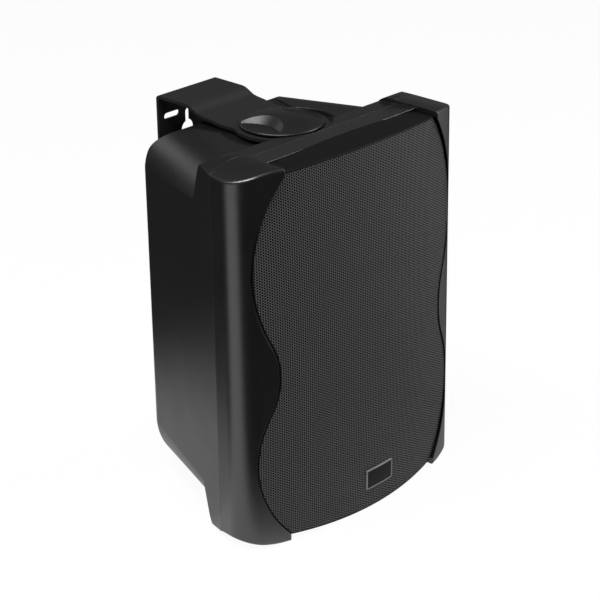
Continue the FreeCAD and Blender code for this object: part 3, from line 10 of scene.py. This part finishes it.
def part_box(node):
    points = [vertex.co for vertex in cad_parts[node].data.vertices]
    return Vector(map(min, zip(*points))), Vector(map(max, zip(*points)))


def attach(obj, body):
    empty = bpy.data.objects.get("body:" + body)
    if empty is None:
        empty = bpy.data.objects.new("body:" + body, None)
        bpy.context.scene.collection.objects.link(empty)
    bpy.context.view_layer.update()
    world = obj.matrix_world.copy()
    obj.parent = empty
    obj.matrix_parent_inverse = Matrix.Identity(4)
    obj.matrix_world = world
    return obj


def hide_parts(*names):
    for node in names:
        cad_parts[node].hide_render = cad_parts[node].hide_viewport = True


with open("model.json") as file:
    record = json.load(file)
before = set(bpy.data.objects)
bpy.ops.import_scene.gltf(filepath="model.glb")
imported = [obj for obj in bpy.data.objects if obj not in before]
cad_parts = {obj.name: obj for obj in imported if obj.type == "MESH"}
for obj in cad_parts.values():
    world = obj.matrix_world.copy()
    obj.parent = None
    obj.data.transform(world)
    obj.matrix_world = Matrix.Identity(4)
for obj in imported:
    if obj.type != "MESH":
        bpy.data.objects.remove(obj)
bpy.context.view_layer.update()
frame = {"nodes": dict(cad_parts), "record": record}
NODES = frame["nodes"]

# Cabinet and baffle, in metres as are all sizes
HEIGHT = 0.300
CHEEK_INNER = 0.082
SEAM_Y = -0.041
SEAM_HALF_WIDTH = 0.00045
MOULDING_EDGE = 0.0009

# Wavy outline of the grille: the centre (x, z) and radius of its lobes, and the waist between them
UPPER_CENTRE, UPPER_RADIUS = Vector((-0.012, 0.220)), 0.120
LOWER_CENTRE, LOWER_RADIUS = Vector((0.017, 0.068)), 0.090
WAIST_RADIUS = 0.060
CROWN_STEPS, UPPER_STEPS, WAIST_STEPS, LOWER_STEPS = 24, 30, 14, 24

# Grille, drawn flat at WORK_Y in front of the loudspeaker and then laid on its bow
WORK_Y = -0.110
GRILLE_GAP = 0.0007
GRILLE_CORNER = 0.004
GRILLE_RISE = 0.0036
GRILLE_RETURN_Y = -0.0623
BORDER_OUTER, BORDER_INNER = 0.00085, 0.0020
BORDER_PROUD = 0.00008
BORDER_ROUND = 0.0006
PERFORATION_PITCH = 0.0021
PERFORATION_INSET = 0.0016
HOLE_SHARE = 0.72
SHEET_MARGIN = 0.027
TRIM_DEPTH = 0.02
WELD = 0.00001

# Badge plate
BADGE_X, BADGE_Z = 0.0058, 0.026
BADGE_WIDTH, BADGE_HEIGHT = 0.0295, 0.0165
BADGE_BORDER = 0.0009

# Clamping knob; a step of its rim is the cut off its radius and the rise from its underside
KNOB_RADIUS, KNOB_RIM, KNOB_DOME = 0.0324, 0.0012, 0.0058
KNOB_RIM_STEPS = ((0.0, 0.0), (0.0, 0.0005), (0.00015, 0.00095), (0.0005, 0.0013))
KNOB_CROWN_CUT, KNOB_CROWN_STEP, KNOB_CROWN_RINGS = 0.0010, 0.0033, 10
KNOB_HUB, KNOB_SOCKET, KNOB_SOCKET_DEPTH = 0.012, 0.007, 0.0035
KNOB_SIDES = 96
KNOB_EDGE = 0.0006
KNOB_WELD = 0.00004
SCOOP_X, SCOOP_RADIUS, SCOOP_SIDES = 0.040, 0.0262, 128
SCOOP_FLOOR, SCOOP_LIP = 0.0006, 0.0015
SCOOP_OVER, LIP_OVER = 0.0005, 0.001

# Relief of all finishes, and the rays that round their edges
RELIEF_STRENGTH = 0.6
EDGE_SAMPLES = 6

# Studio floor; in reflections it is dim, with pale glowing areas that stand in for lamps and fade out at
# their borders
FLOOR_SIZE, FLOOR_DROP = 60.0, 0.0002
FLOOR_WHITE, FLOOR_DIM = 0.95, 0.05
NEAR_CENTRE, NEAR_REACH, NEAR_FADE, NEAR_GLOW = (-0.02, 0.06, 0.0), 0.28, 7.0, 0.7
LEFT_REAR_SLOPE, LEFT_REAR_Y = -0.58, 0.066
LEFT_FRONT_SLOPE, LEFT_FRONT_Y = 0.244, 0.091
LEFT_FADE = 14.0
RIGHT_FADE, RIGHT_REAR_FADE, RIGHT_GLOW = 5.0, 10.0, 0.4


# Shader values and finishes

class Value:
    """A socket in a finish; arithmetic on it adds Math nodes."""

    def __init__(self, finish, socket):
        self.finish = finish
        self.socket = socket

    def math(self, operation, first, second=0.0):
        return self.finish.node("ShaderNodeMath", {"operation": operation}, {0: first, 1: second})

    def __add__(self, other):
        return self.math("ADD", self, other)

    def __sub__(self, other):
        return self.math("SUBTRACT", self, other)

    def __rsub__(self, other):
        return self.math("SUBTRACT", other, self)

    def __mul__(self, other):
        return self.math("MULTIPLY", self, other)

    def __lt__(self, other):
        return self.math("LESS_THAN", self, other)

    def __gt__(self, other):
        return self.math("GREATER_THAN", self, other)

    def __abs__(self):
        return self.math("ABSOLUTE", self)

    __radd__ = __add__
    __rmul__ = __mul__


class Finish:
    """A procedural material, or the world, on Object coordinates."""

    def __init__(self, name, kind=bpy.data.materials):
        self.owner = kind.new(name)
        self.owner.use_nodes = True
        self.tree = self.owner.node_tree
        self.tree.nodes.clear()

    def node(self, kind, settings, inputs, output=0):
        made = self.tree.nodes.new(kind)
        for name, value in settings.items():
            if name == "stops":
                for stop, (place, colour) in zip(made.color_ramp.elements, value):
                    stop.position = place
                    stop.color = colour
            else:
                setattr(made, name, value)
        for name, value in inputs.items():
            if isinstance(value, Value):
                self.tree.links.new(value.socket, made.inputs[name])
            else:
                made.inputs[name].default_value = value
        return Value(self, made.outputs[output]) if made.outputs else None

    def place(self, output="Object"):
        return self.node("ShaderNodeTexCoord", {}, {}, output)

    def axes(self, output="Object"):
        parts = self.node("ShaderNodeSeparateXYZ", {}, {0: self.place(output)})
        return [Value(self, socket) for socket in parts.socket.node.outputs]

    def rays(self):
        """Whether a ray comes from the camera, from a glossy surface or through a clear one."""
        path = self.node("ShaderNodeLightPath", {}, {})
        names = ("Is Camera Ray", "Is Glossy Ray", "Is Transmission Ray")
        return [Value(self, path.socket.node.outputs[name]) for name in names]

    def noise(self, scale, detail, rough=0.55, stretch=None):
        vector = self.place()
        if stretch:
            vector = self.node("ShaderNodeMapping", {}, {"Vector": vector, "Scale": stretch})
        inputs = {"Vector": vector, "Scale": scale, "Detail": detail, "Roughness": rough}
        return self.node("ShaderNodeTexNoise", {}, inputs)

    def blend(self, factor, first, second):
        settings = {"data_type": "RGBA"}
        return self.node("ShaderNodeMix", settings, {0: factor, 6: first, 7: second}, 2)

    def limit(self, value):
        return self.node("ShaderNodeClamp", {}, {0: value})

    def shades(self, factor, colour, dark, light):
        """The colour, from its dark share to its light one as the factor goes from 0 to 1."""
        return self.blend(self.limit(factor), tone(colour, dark), tone(colour, light))

    def wave(self, value, pitch):
        """A smooth ripple from 0 to 1 that repeats every pitch."""
        turn = value * (2 * math.pi / pitch)
        return self.node("ShaderNodeMath", {"operation": "SINE"}, {0: turn}) * 0.5 + 0.5

    def close(self, colour, roughness, height, depth, edge=0.0, **shader):
        """Ends in a Principled shader; height is the relief in units of depth, edge rounds the arrises."""
        relief = {"Strength": RELIEF_STRENGTH, "Distance": depth, "Height": height}
        if edge:
            relief["Normal"] = self.node("ShaderNodeBevel", {"samples": EDGE_SAMPLES}, {"Radius": edge})
        bump = self.node("ShaderNodeBump", {}, relief)
        inputs = {"Base Color": colour, "Roughness": roughness, "Normal": bump}
        inputs.update({name.replace("_", " "): value for name, value in shader.items()})
        surface = self.node("ShaderNodeBsdfPrincipled", {}, inputs)
        self.node("ShaderNodeOutputMaterial", {}, {"Surface": surface})
        return self.owner


def grey(level):
    return (level, level, level, 1.0)


def tone(colour, share):
    return tuple(min(1.0, part * share) for part in colour) + (1.0,)


def moulded(name, colour, roughness, specular, grain=2200.0, depth=0.00005, seam=False, edge=0.0):
    """Moulded plastic: fine spark-eroded grain, faint mottling, and a shadow line at the cabinet seam."""
    finish = Finish(name)
    cloud = finish.noise(26.0, 4.0)
    fine = finish.noise(grain, 2.0, 0.6)
    shade = finish.shades(cloud * 0.7 + fine * 0.3, colour, 0.78, 1.25)
    relief = fine
    if seam:
        gap = abs(finish.axes()[1] - SEAM_Y) < SEAM_HALF_WIDTH
        shade = finish.blend(gap, shade, grey(0.001))
        relief = fine - gap * 4.0
    return finish.close(shade, cloud * 0.12 + fine * 0.06 + (roughness - 0.09), relief, depth, edge,
                        Specular_IOR_Level=specular)


def powder_coat(name, colour, roughness, specular=0.3):
    """Powder-coated steel: orange peel with a finer speckle."""
    finish = Finish(name)
    peel = finish.noise(520.0, 2.0, 0.5)
    speck = finish.noise(3000.0, 1.0)
    shade = finish.shades(peel * 0.6 + speck * 0.4, colour, 0.75, 1.3)
    return finish.close(shade, speck * 0.12 + (roughness - 0.06), peel + speck * 0.5, 0.00008,
                        Specular_IOR_Level=specular)


def metal(name, colour, roughness, brushed):
    """Bare or plated metal with a drawn or turned grain."""
    finish = Finish(name)
    scratch = finish.noise(700.0, 4.0, 0.7, brushed)
    stain = finish.noise(60.0, 3.0)
    shade = finish.shades(stain * 0.6 + scratch * 0.4, colour, 0.72, 1.1)
    return finish.close(shade, scratch * 0.22 + (roughness - 0.1), scratch, 0.00004, Metallic=1.0)


def woven(name, colour, pitch, roughness=0.9, depth=0.0002):
    """Plain-weave cloth seen along the Y axis."""
    finish = Finish(name)
    x, _, z = finish.axes()
    warp = finish.wave(x, pitch)
    weft = finish.wave(z, pitch)
    over = warp * weft + (1.0 - warp) * (1.0 - weft)
    fuzz = finish.noise(2600.0, 3.0, 0.7)
    shade = finish.shades(over * 0.7 + fuzz * 0.3, colour, 0.5, 1.4)
    return finish.close(shade, fuzz * 0.1 + (roughness - 0.05), over + fuzz * 0.4, depth,
                        Specular_IOR_Level=0.15)


def fibre(name, colour, scale, roughness, depth):
    """Pressed paper or wadding: tangled fibres over soft clouds."""
    finish = Finish(name)
    hair = finish.noise(scale, 6.0, 0.75)
    cloud = finish.noise(scale / 14.0, 3.0)
    shade = finish.shades(hair * 0.6 + cloud * 0.4, colour, 0.6, 1.35)
    return finish.close(shade, hair * 0.12 + (roughness - 0.06), hair + cloud * 0.6, depth,
                        Specular_IOR_Level=0.2)


def winding(name, colour, pitch):
    """Enamelled wire laid turn on turn along the Y axis."""
    finish = Finish(name)
    turns = finish.wave(finish.axes()[1], pitch)
    stain = finish.noise(90.0, 3.0)
    shade = finish.shades(turns * 0.7 + stain * 0.3, colour, 0.35, 1.15)
    return finish.close(shade, stain * 0.1 + 0.22, turns, 0.0002, Metallic=0.85)


def sintered(name, colour, roughness):
    """Ferrite or cement: a grainy fired body with pits."""
    finish = Finish(name)
    pit = finish.node("ShaderNodeTexVoronoi", {}, {"Vector": finish.place(), "Scale": 900.0})
    cloud = finish.noise(140.0, 4.0)
    shade = finish.shades(cloud * 0.7 + pit * 0.3, colour, 0.65, 1.25)
    return finish.close(shade, cloud * 0.14 + (roughness - 0.07), pit + cloud, 0.0001)


def circuit_board(name):
    """Green solder mask with copper tracks showing through it."""
    finish = Finish(name)
    track = (finish.wave(finish.axes()[0], 0.011) > 0.78) * (finish.noise(45.0, 1.0) > 0.47)
    cloud = finish.noise(70.0, 3.0)
    mask = finish.blend(cloud, (0.010, 0.060, 0.022, 1.0), (0.018, 0.095, 0.036, 1.0))
    shade = finish.blend(track, mask, (0.045, 0.150, 0.040, 1.0))
    return finish.close(shade, cloud * 0.1 + 0.3, track, 0.00006)


def badge_face(name):
    """A bare dark plate with a fine satin border along its edge."""
    finish = Finish(name)
    x, _, z = finish.axes()
    side = abs(x - BADGE_X) > BADGE_WIDTH / 2 - BADGE_BORDER
    edge = abs(z - BADGE_Z) > BADGE_HEIGHT / 2 - BADGE_BORDER
    border = finish.limit(side + edge)
    brush = finish.noise(900.0, 3.0, 0.6, (0.08, 1.0, 1.0))
    plate = finish.blend(brush, grey(0.003), grey(0.006))
    line = finish.blend(brush, grey(0.16), grey(0.30))
    return finish.close(finish.blend(border, plate, line), brush * 0.12 + 0.3, border + brush * 0.1, 0.0001,
                        Specular_IOR_Level=0.2)


# Finishes by the record's slots

BLACK = (0.0042, 0.0043, 0.0045)
FINISHES = {
    "cabinet_plastic": moulded("cabinet_plastic", BLACK, roughness=0.36, specular=0.7, seam=True,
                               edge=MOULDING_EDGE),
    "baffle_plastic": moulded("baffle_plastic", BLACK, roughness=0.31, specular=1.0, seam=True,
                              edge=MOULDING_EDGE),
    "grille_steel": powder_coat("grille_steel", (0.090, 0.092, 0.092), roughness=0.46),
    "cloth": woven("cloth", (0.0020, 0.0020, 0.0021), pitch=0.0006),
    "badge_plastic": badge_face("badge_plastic"),
    "bracket_steel": powder_coat("bracket_steel", (0.0090, 0.0092, 0.0094), roughness=0.58),
    "knob_plastic": moulded("knob_plastic", (0.008, 0.0082, 0.0084), roughness=0.36, specular=0.4,
                            grain=2600.0, depth=0.00003, edge=KNOB_EDGE),
    "rubber": moulded("rubber", (0.012, 0.012, 0.012), roughness=0.72, specular=0.25, grain=1500.0,
                      depth=0.0001),
    "zinc_steel": metal("zinc_steel", (0.55, 0.55, 0.53), roughness=0.36, brushed=(1.0, 0.1, 1.0)),
    "black_steel": powder_coat("black_steel", (0.016, 0.016, 0.017), roughness=0.5),
    "brass": metal("brass", (0.70, 0.46, 0.15), roughness=0.3, brushed=(1.0, 1.0, 0.1)),
    "paper": fibre("paper", (0.022, 0.022, 0.023), scale=1100.0, roughness=0.82, depth=0.00025),
    "treated_cloth": woven("treated_cloth", (0.42, 0.24, 0.09), pitch=0.0011, roughness=0.75),
    "copper_coil": winding("copper_coil", (0.72, 0.30, 0.12), pitch=0.0007),
    "ferrite": sintered("ferrite", (0.055, 0.055, 0.058), roughness=0.62),
    "silk": woven("silk", (0.020, 0.020, 0.022), pitch=0.00045, roughness=0.6, depth=0.00008),
    "terminal_plastic": moulded("terminal_plastic", (0.012, 0.012, 0.0125), roughness=0.5, specular=0.35),
    "red_plastic": moulded("red_plastic", (0.42, 0.012, 0.010), roughness=0.38, specular=0.5,
                           grain=1800.0, depth=0.00004),
    "black_plastic": moulded("black_plastic", (0.014, 0.014, 0.0145), roughness=0.38, specular=0.5,
                             grain=1800.0, depth=0.00004),
    "circuit_board": circuit_board("circuit_board"),
    "capacitor_film": moulded("capacitor_film", (0.55, 0.33, 0.06), roughness=0.34, specular=0.5,
                              grain=500.0, depth=0.0001),
    "ceramic": sintered("ceramic", (0.62, 0.60, 0.55), roughness=0.75),
    "wadding": fibre("wadding", (0.48, 0.48, 0.46), scale=420.0, roughness=0.95, depth=0.0015),
}
# The grille's border and return: the same steel as the sheet, in a far darker colour as painted shade
GRILLE_EDGE_SHADE = powder_coat("grille_edge_shade", (0.0030, 0.0030, 0.0032), roughness=0.55, specular=0.15)


def dress(obj, finish):
    obj.data.materials.clear()
    obj.data.materials.append(finish)


def dress_nodes():
    """Gives every CAD node the finish of its slot in the record."""
    for part in frame["record"]["subparts"]:
        dress(NODES[part["node"]], FINISHES[part["material_slot"]])


# Modelling steps

def deselect():
    bpy.ops.object.select_all(action="DESELECT")


def select_only(obj):
    deselect()
    obj.select_set(True)
    bpy.context.view_layer.objects.active = obj


def apply_modifier(obj, kind, **settings):
    bpy.context.view_layer.objects.active = obj
    modifier = obj.modifiers.new(kind.lower(), kind)
    for name, value in settings.items():
        setattr(modifier, name, value)
    bpy.ops.object.modifier_apply(modifier=modifier.name)


def edit_all(obj):
    """Edit mode with all of the piece selected."""
    select_only(obj)
    bpy.ops.object.mode_set(mode="EDIT")
    bpy.ops.mesh.select_all(action="SELECT")


def joined(first, second):
    select_only(first)
    second.select_set(True)
    bpy.ops.object.join()
    return first


def select_points(obj, wanted):
    """Selects the points that pass the test wanted(index, place), and the edges and faces they hold."""
    bpy.ops.object.mode_set(mode="EDIT")
    bpy.ops.mesh.select_mode(type="VERT")
    bpy.ops.mesh.select_all(action="DESELECT")
    bpy.ops.object.mode_set(mode="OBJECT")
    for point in obj.data.vertices:
        point.select = wanted(point.index, point.co)
    bpy.ops.object.mode_set(mode="EDIT")


# Perforated grille

def sweep(centre, start, end, steps):
    """Turns the free end of the chain about centre from start to end; places are (x, z)."""
    turns = [math.atan2(p[0] - centre[0], p[1] - centre[1]) for p in (start, end)]
    bpy.ops.mesh.spin(steps=steps, angle=turns[0] - turns[1], center=(centre[0], WORK_Y, centre[1]),
                      axis=(0, 1, 0))


def step_on(start, end):
    way = (end[0] - start[0], 0, end[1] - start[1])
    bpy.ops.mesh.extrude_region_move(TRANSFORM_OT_translate={"value": way})


def waist_centre():
    """Where the waist arc that touches both lobes has its centre."""
    far_upper = UPPER_RADIUS + WAIST_RADIUS
    far_lower = LOWER_RADIUS + WAIST_RADIUS
    span = (LOWER_CENTRE - UPPER_CENTRE).length
    way = (LOWER_CENTRE - UPPER_CENTRE) / span
    along = (far_upper ** 2 - far_lower ** 2 + span ** 2) / (2 * span)
    aside = math.sqrt(far_upper ** 2 - along ** 2)
    return UPPER_CENTRE + way * along + Vector((-way.y, way.x)) * aside


def wavy_loop(name, inset):
    """The closed outline of the grille, moved inwards by inset: a chain of arcs on one side, mirrored."""
    upper, lower, waist = UPPER_CENTRE, LOWER_CENTRE, waist_centre()
    upper_r, lower_r = UPPER_RADIUS - inset, LOWER_RADIUS - inset
    edge = CHEEK_INNER - inset
    corner = GRILLE_CORNER + inset - GRILLE_GAP
    crown_r = (edge ** 2 + GRILLE_RISE ** 2) / (2 * GRILLE_RISE)
    crown = (0.0, HEIGHT - corner + GRILLE_RISE)
    high = (edge, HEIGHT - corner)
    top = (edge, upper.y + math.sqrt(upper_r ** 2 - (edge - upper.x) ** 2))
    upper_waist = upper + (waist - upper).normalized() * upper_r
    lower_waist = lower + (waist - lower).normalized() * lower_r
    bottom = (edge, lower.y - math.sqrt(lower_r ** 2 - (edge - lower.x) ** 2))
    low = (edge, corner)
    foot = (0.0, corner - GRILLE_RISE)
    deselect()
    bpy.ops.mesh.primitive_plane_add(size=0.001, location=(0, WORK_Y, crown[1]))
    obj = bpy.context.object
    obj.name = name
    bpy.ops.object.transform_apply(location=True, rotation=True, scale=True)
    edit_all(obj)
    bpy.ops.mesh.merge(type="CENTER")
    sweep((0.0, crown[1] - crown_r), crown, high, CROWN_STEPS)
    step_on(high, top)
    sweep(upper, top, upper_waist, UPPER_STEPS)
    sweep(waist, upper_waist, lower_waist, WAIST_STEPS)
    sweep(lower, lower_waist, bottom, LOWER_STEPS)
    step_on(bottom, low)
    sweep((0.0, foot[1] + crown_r), low, foot, CROWN_STEPS)
    bpy.ops.object.mode_set(mode="OBJECT")
    apply_modifier(obj, "MIRROR", use_clip=True, merge_threshold=WELD)
    return obj


def lay_on_grille(obj):
    """Lays a flat piece on the bowed face of the CAD grille."""
    apply_modifier(obj, "SHRINKWRAP", wrap_method="PROJECT", target=NODES["grille"], use_project_y=True,
                   use_positive_direction=True)


def perforated_sheet():
    """A honeycomb of holes, trimmed to the outline and laid on the bow."""
    radius = PERFORATION_PITCH / math.sqrt(3)
    half = CHEEK_INNER + SHEET_MARGIN
    deselect()
    bpy.ops.mesh.primitive_circle_add(vertices=6, radius=radius, fill_type="NGON",
                                      location=(-half, WORK_Y, 0), rotation=(math.pi / 2, math.pi / 6, 0))
    sheet = bpy.context.object
    sheet.name = "grille_perforated"
    bpy.ops.object.transform_apply(location=True, rotation=True, scale=True)
    edit_all(sheet)
    bpy.ops.mesh.inset(thickness=PERFORATION_PITCH / 2 * (1 - HOLE_SHARE))
    bpy.ops.mesh.delete(type="FACE")
    bpy.ops.mesh.select_all(action="SELECT")
    next_hole = (1.5 * radius, 0, PERFORATION_PITCH / 2)
    bpy.ops.mesh.duplicate_move(TRANSFORM_OT_translate={"value": next_hole})
    bpy.ops.object.mode_set(mode="OBJECT")
    for way, room in (((3 * radius, 0, 0), 2 * half), ((0, 0, PERFORATION_PITCH), HEIGHT)):
        apply_modifier(sheet, "ARRAY", count=math.ceil(room / max(way)), use_relative_offset=False,
                       use_constant_offset=True, constant_offset_displace=way)
    edit_all(sheet)
    bpy.ops.mesh.remove_doubles(threshold=WELD)
    bpy.ops.object.mode_set(mode="OBJECT")
    cutter = wavy_loop("grille_trim", PERFORATION_INSET)
    edit_all(cutter)
    bpy.ops.mesh.edge_face_add()
    bpy.ops.mesh.extrude_region_move(TRANSFORM_OT_translate={"value": (0, TRIM_DEPTH, 0)})
    bpy.ops.mesh.select_all(action="SELECT")
    bpy.ops.transform.translate(value=(0, -TRIM_DEPTH / 2, 0))
    bpy.ops.mesh.normals_make_consistent(inside=False)
    bpy.ops.object.mode_set(mode="OBJECT")
    apply_modifier(sheet, "BOOLEAN", operation="INTERSECT", solver="EXACT", use_hole_tolerant=True,
                   object=cutter)
    bpy.data.objects.remove(cutter)
    select_only(sheet)
    select_points(sheet, lambda index, place: abs(place.y - WORK_Y) > WELD)
    bpy.ops.mesh.delete(type="VERT")
    bpy.ops.object.mode_set(mode="OBJECT")
    lay_on_grille(sheet)
    return sheet


def grille_border():
    """The plain border round the holes, rolled over into the return edge that meets the board."""
    border = wavy_loop("grille_border", BORDER_OUTER)
    outer_points = len(border.data.vertices)
    border = joined(border, wavy_loop("grille_inner_edge", BORDER_INNER))
    edit_all(border)
    bpy.ops.mesh.bridge_edge_loops()
    bpy.ops.object.mode_set(mode="OBJECT")
    lay_on_grille(border)
    edit_all(border)
    bpy.ops.transform.translate(value=(0, -BORDER_PROUD, 0))
    select_points(border, lambda index, place: index < outer_points)
    bpy.ops.mesh.extrude_region_move()
    bpy.ops.transform.resize(value=(1, 0, 1), center_override=(0, GRILLE_RETURN_Y, 0))
    bpy.ops.mesh.select_all(action="SELECT")
    bpy.ops.mesh.normals_make_consistent(inside=False)
    bpy.ops.object.mode_set(mode="OBJECT")
    apply_modifier(border, "BEVEL", width=BORDER_ROUND, segments=3, limit_method="ANGLE", angle_limit=0.7)
    return border


def perforated_grille():
    sheet = perforated_sheet()
    border = grille_border()
    dress(sheet, FINISHES["grille_steel"])
    # The border and return take the darker copy of the grille's steel, as painted shade
    dress(border, GRILLE_EDGE_SHADE)
    grille = joined(sheet, border)
    bpy.ops.object.shade_smooth_by_angle(angle=0.6)
    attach(grille, "cabinet")
    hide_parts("grille")


# Clamping knob

def turned(name, profile, sides=KNOB_SIDES):
    """A solid turned about the Z axis: a disc at the first (radius, height), drawn on from ring to ring."""
    (radius, height), *rings = profile
    deselect()
    bpy.ops.mesh.primitive_circle_add(vertices=sides, radius=radius, fill_type="NGON",
                                      location=(0, 0, height))
    obj = bpy.context.object
    obj.name = name
    bpy.ops.object.transform_apply(location=True, rotation=True, scale=True)
    edit_all(obj)
    for wide, high in rings:
        share = wide / radius
        bpy.ops.mesh.extrude_region_move(TRANSFORM_OT_translate={"value": (0, 0, high - height)})
        bpy.ops.transform.resize(value=(share, share, 1), center_override=(0, 0, 0))
        radius, height = wide, high
    bpy.ops.mesh.select_all(action="SELECT")
    bpy.ops.mesh.normals_make_consistent(inside=False)
    bpy.ops.object.mode_set(mode="OBJECT")
    return obj


def scooped_knob():
    """A domed disc with a sloped finger scoop on each side of its grip, over its hub and socket."""
    lowest, highest = [corner.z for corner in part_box("swivel_knob")]
    under = highest - KNOB_RIM - KNOB_DOME
    sphere = (KNOB_RADIUS ** 2 + KNOB_DOME ** 2) / (2 * KNOB_DOME)
    crown = [KNOB_RADIUS - KNOB_CROWN_CUT - KNOB_CROWN_STEP * ring for ring in range(KNOB_CROWN_RINGS)]
    profile = [(KNOB_SOCKET, under + KNOB_SOCKET_DEPTH), (KNOB_SOCKET, lowest), (KNOB_HUB, lowest),
               (KNOB_HUB, under)]
    profile += [(KNOB_RADIUS - cut, under + rise) for cut, rise in KNOB_RIM_STEPS]
    profile += [(wide, highest - sphere + math.sqrt(sphere ** 2 - wide ** 2)) for wide in crown]
    knob = turned("scooped_knob", profile)
    floor, top = under + SCOOP_FLOOR, highest + SCOOP_OVER
    inner = KNOB_RADIUS - SCOOP_LIP
    lip = turned("scoop_lip", [(inner, floor - LIP_OVER), (inner, top + LIP_OVER)])
    for side in (-1, 1):
        scoop = turned("scoop", [(SCOOP_RADIUS, floor), (SCOOP_RADIUS + top - floor, top)], SCOOP_SIDES)
        edit_all(scoop)
        bpy.ops.transform.translate(value=(side * SCOOP_X, 0, 0))
        bpy.ops.object.mode_set(mode="OBJECT")
        apply_modifier(scoop, "BOOLEAN", operation="INTERSECT", solver="EXACT", object=lip)
        apply_modifier(knob, "BOOLEAN", operation="DIFFERENCE", solver="EXACT", object=scoop)
        bpy.data.objects.remove(scoop)
    bpy.data.objects.remove(lip)
    edit_all(knob)
    bpy.ops.mesh.remove_doubles(threshold=KNOB_WELD)
    bpy.ops.mesh.dissolve_degenerate(threshold=KNOB_WELD)
    bpy.ops.object.mode_set(mode="OBJECT")
    bpy.ops.object.shade_smooth_by_angle(angle=0.5)
    dress(knob, FINISHES["knob_plastic"])
    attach(knob, "knob")
    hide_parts("swivel_knob")


# Studio and camera

def stage_floor():
    """White to the camera; in reflections dim, with pale glowing areas near the object, to its left and
    right, that stand in for lamps.
    """
    deselect()
    bpy.ops.mesh.primitive_plane_add(size=FLOOR_SIZE, location=(0, 0, -FLOOR_DROP))
    floor = bpy.context.object
    floor.name = "studio_floor"
    finish = Finish("studio_floor")
    camera, glossy, through = finish.rays()
    x, y, _ = finish.axes()
    ends = {0: finish.place(), 1: NEAR_CENTRE}
    reach = finish.node("ShaderNodeVectorMath", {"operation": "DISTANCE"}, ends, "Value")
    near = finish.limit((NEAR_REACH - reach) * NEAR_FADE)
    left_rear = finish.limit((x * LEFT_REAR_SLOPE - y - LEFT_REAR_Y) * LEFT_FADE)
    left_front = finish.limit((y - x * LEFT_FRONT_SLOPE + LEFT_FRONT_Y) * LEFT_FADE)
    right = finish.limit((x + y) * RIGHT_FADE) * finish.limit(y * -RIGHT_REAR_FADE)
    # The pale areas glow only in reflections, as lamps that light the object's reflections
    glowing_areas = finish.limit(near * NEAR_GLOW + left_rear * left_front + right * RIGHT_GLOW)
    glow = glowing_areas * (1.0 - FLOOR_DIM) + FLOOR_DIM
    shade = finish.blend(finish.noise(40.0, 2.0), grey(0.86), grey(0.90))
    matte = finish.node("ShaderNodeBsdfDiffuse", {}, {"Color": shade})
    white = finish.node("ShaderNodeEmission", {}, {"Color": 1.0 - glossy * (1.0 - glow)})
    share = finish.limit((camera + through) * FLOOR_WHITE + glossy)
    lit = finish.node("ShaderNodeMixShader", {}, {0: share, 1: matte, 2: white})
    finish.node("ShaderNodeOutputMaterial", {}, {"Surface": lit})
    floor.data.materials.append(finish.owner)


def studio_world():
    """White behind the object; to the rest a dim room, paler at the horizon."""
    finish = Finish("studio", bpy.data.worlds)
    bpy.context.scene.world = finish.owner
    height = finish.axes("Generated")[2]
    stops = [(0.05, grey(0.16)), (0.40, grey(0.06))]
    sky = finish.node("ShaderNodeValToRGB", {"stops": stops}, {0: height})
    camera, _, through = finish.rays()
    room = finish.blend(camera + through, sky, grey(1.0))
    back = finish.node("ShaderNodeBackground", {}, {"Color": room})
    finish.node("ShaderNodeOutputWorld", {}, {"Surface": back})


def softbox(name, place, size, power):
    """A rectangular studio lamp at place, facing the loudspeaker; power is in watts."""
    bpy.ops.object.light_add(type="AREA", location=place)
    lamp = bpy.context.object
    lamp.name = name
    lamp.data.shape = "RECTANGLE"
    lamp.data.size, lamp.data.size_y = size
    lamp.data.energy = power
    aim = Vector((0.0, 0.0, HEIGHT / 2))
    lamp.rotation_euler = (aim - Vector(place)).to_track_quat("-Z", "Y").to_euler()


def studio_light():
    softbox("right_front", place=(1.5, -1.1, 0.45), size=(0.8, 0.8), power=10.0)
    softbox("overhead_left", place=(-0.56, -0.10, 1.50), size=(1.30, 0.50), power=28.0)
    softbox("overhead_right", place=(0.95, -0.44, 1.25), size=(0.50, 0.50), power=8.0)
    softbox("back_left", place=(-0.30, 1.80, 0.95), size=(1.2, 0.5), power=2.0)


def product_camera():
    """The viewing angle of the product picture: a long lens, to the left and above."""
    data = bpy.data.cameras.new("product_camera")
    data.sensor_width = 36.0
    data.sensor_fit = "HORIZONTAL"
    data.lens = 126.0
    camera = bpy.data.objects.new("product_camera", data)
    bpy.context.collection.objects.link(camera)
    right = (0.6936, -0.7202, -0.0142)
    up = (0.3020, 0.2729, 0.9134)
    back = (-0.6540, -0.6378, 0.4067)
    place = (-1.0614, -1.0514, 0.8127)
    turn = Matrix((right, up, back)).transposed()
    camera.matrix_world = Matrix.Translation(place) @ turn.to_4x4()
    bpy.context.scene.camera = camera


dress_nodes()
perforated_grille()
scooped_knob()
stage_floor()
studio_world()
studio_light()
product_camera()
bpy.context.scene.view_settings.view_transform = "Standard"
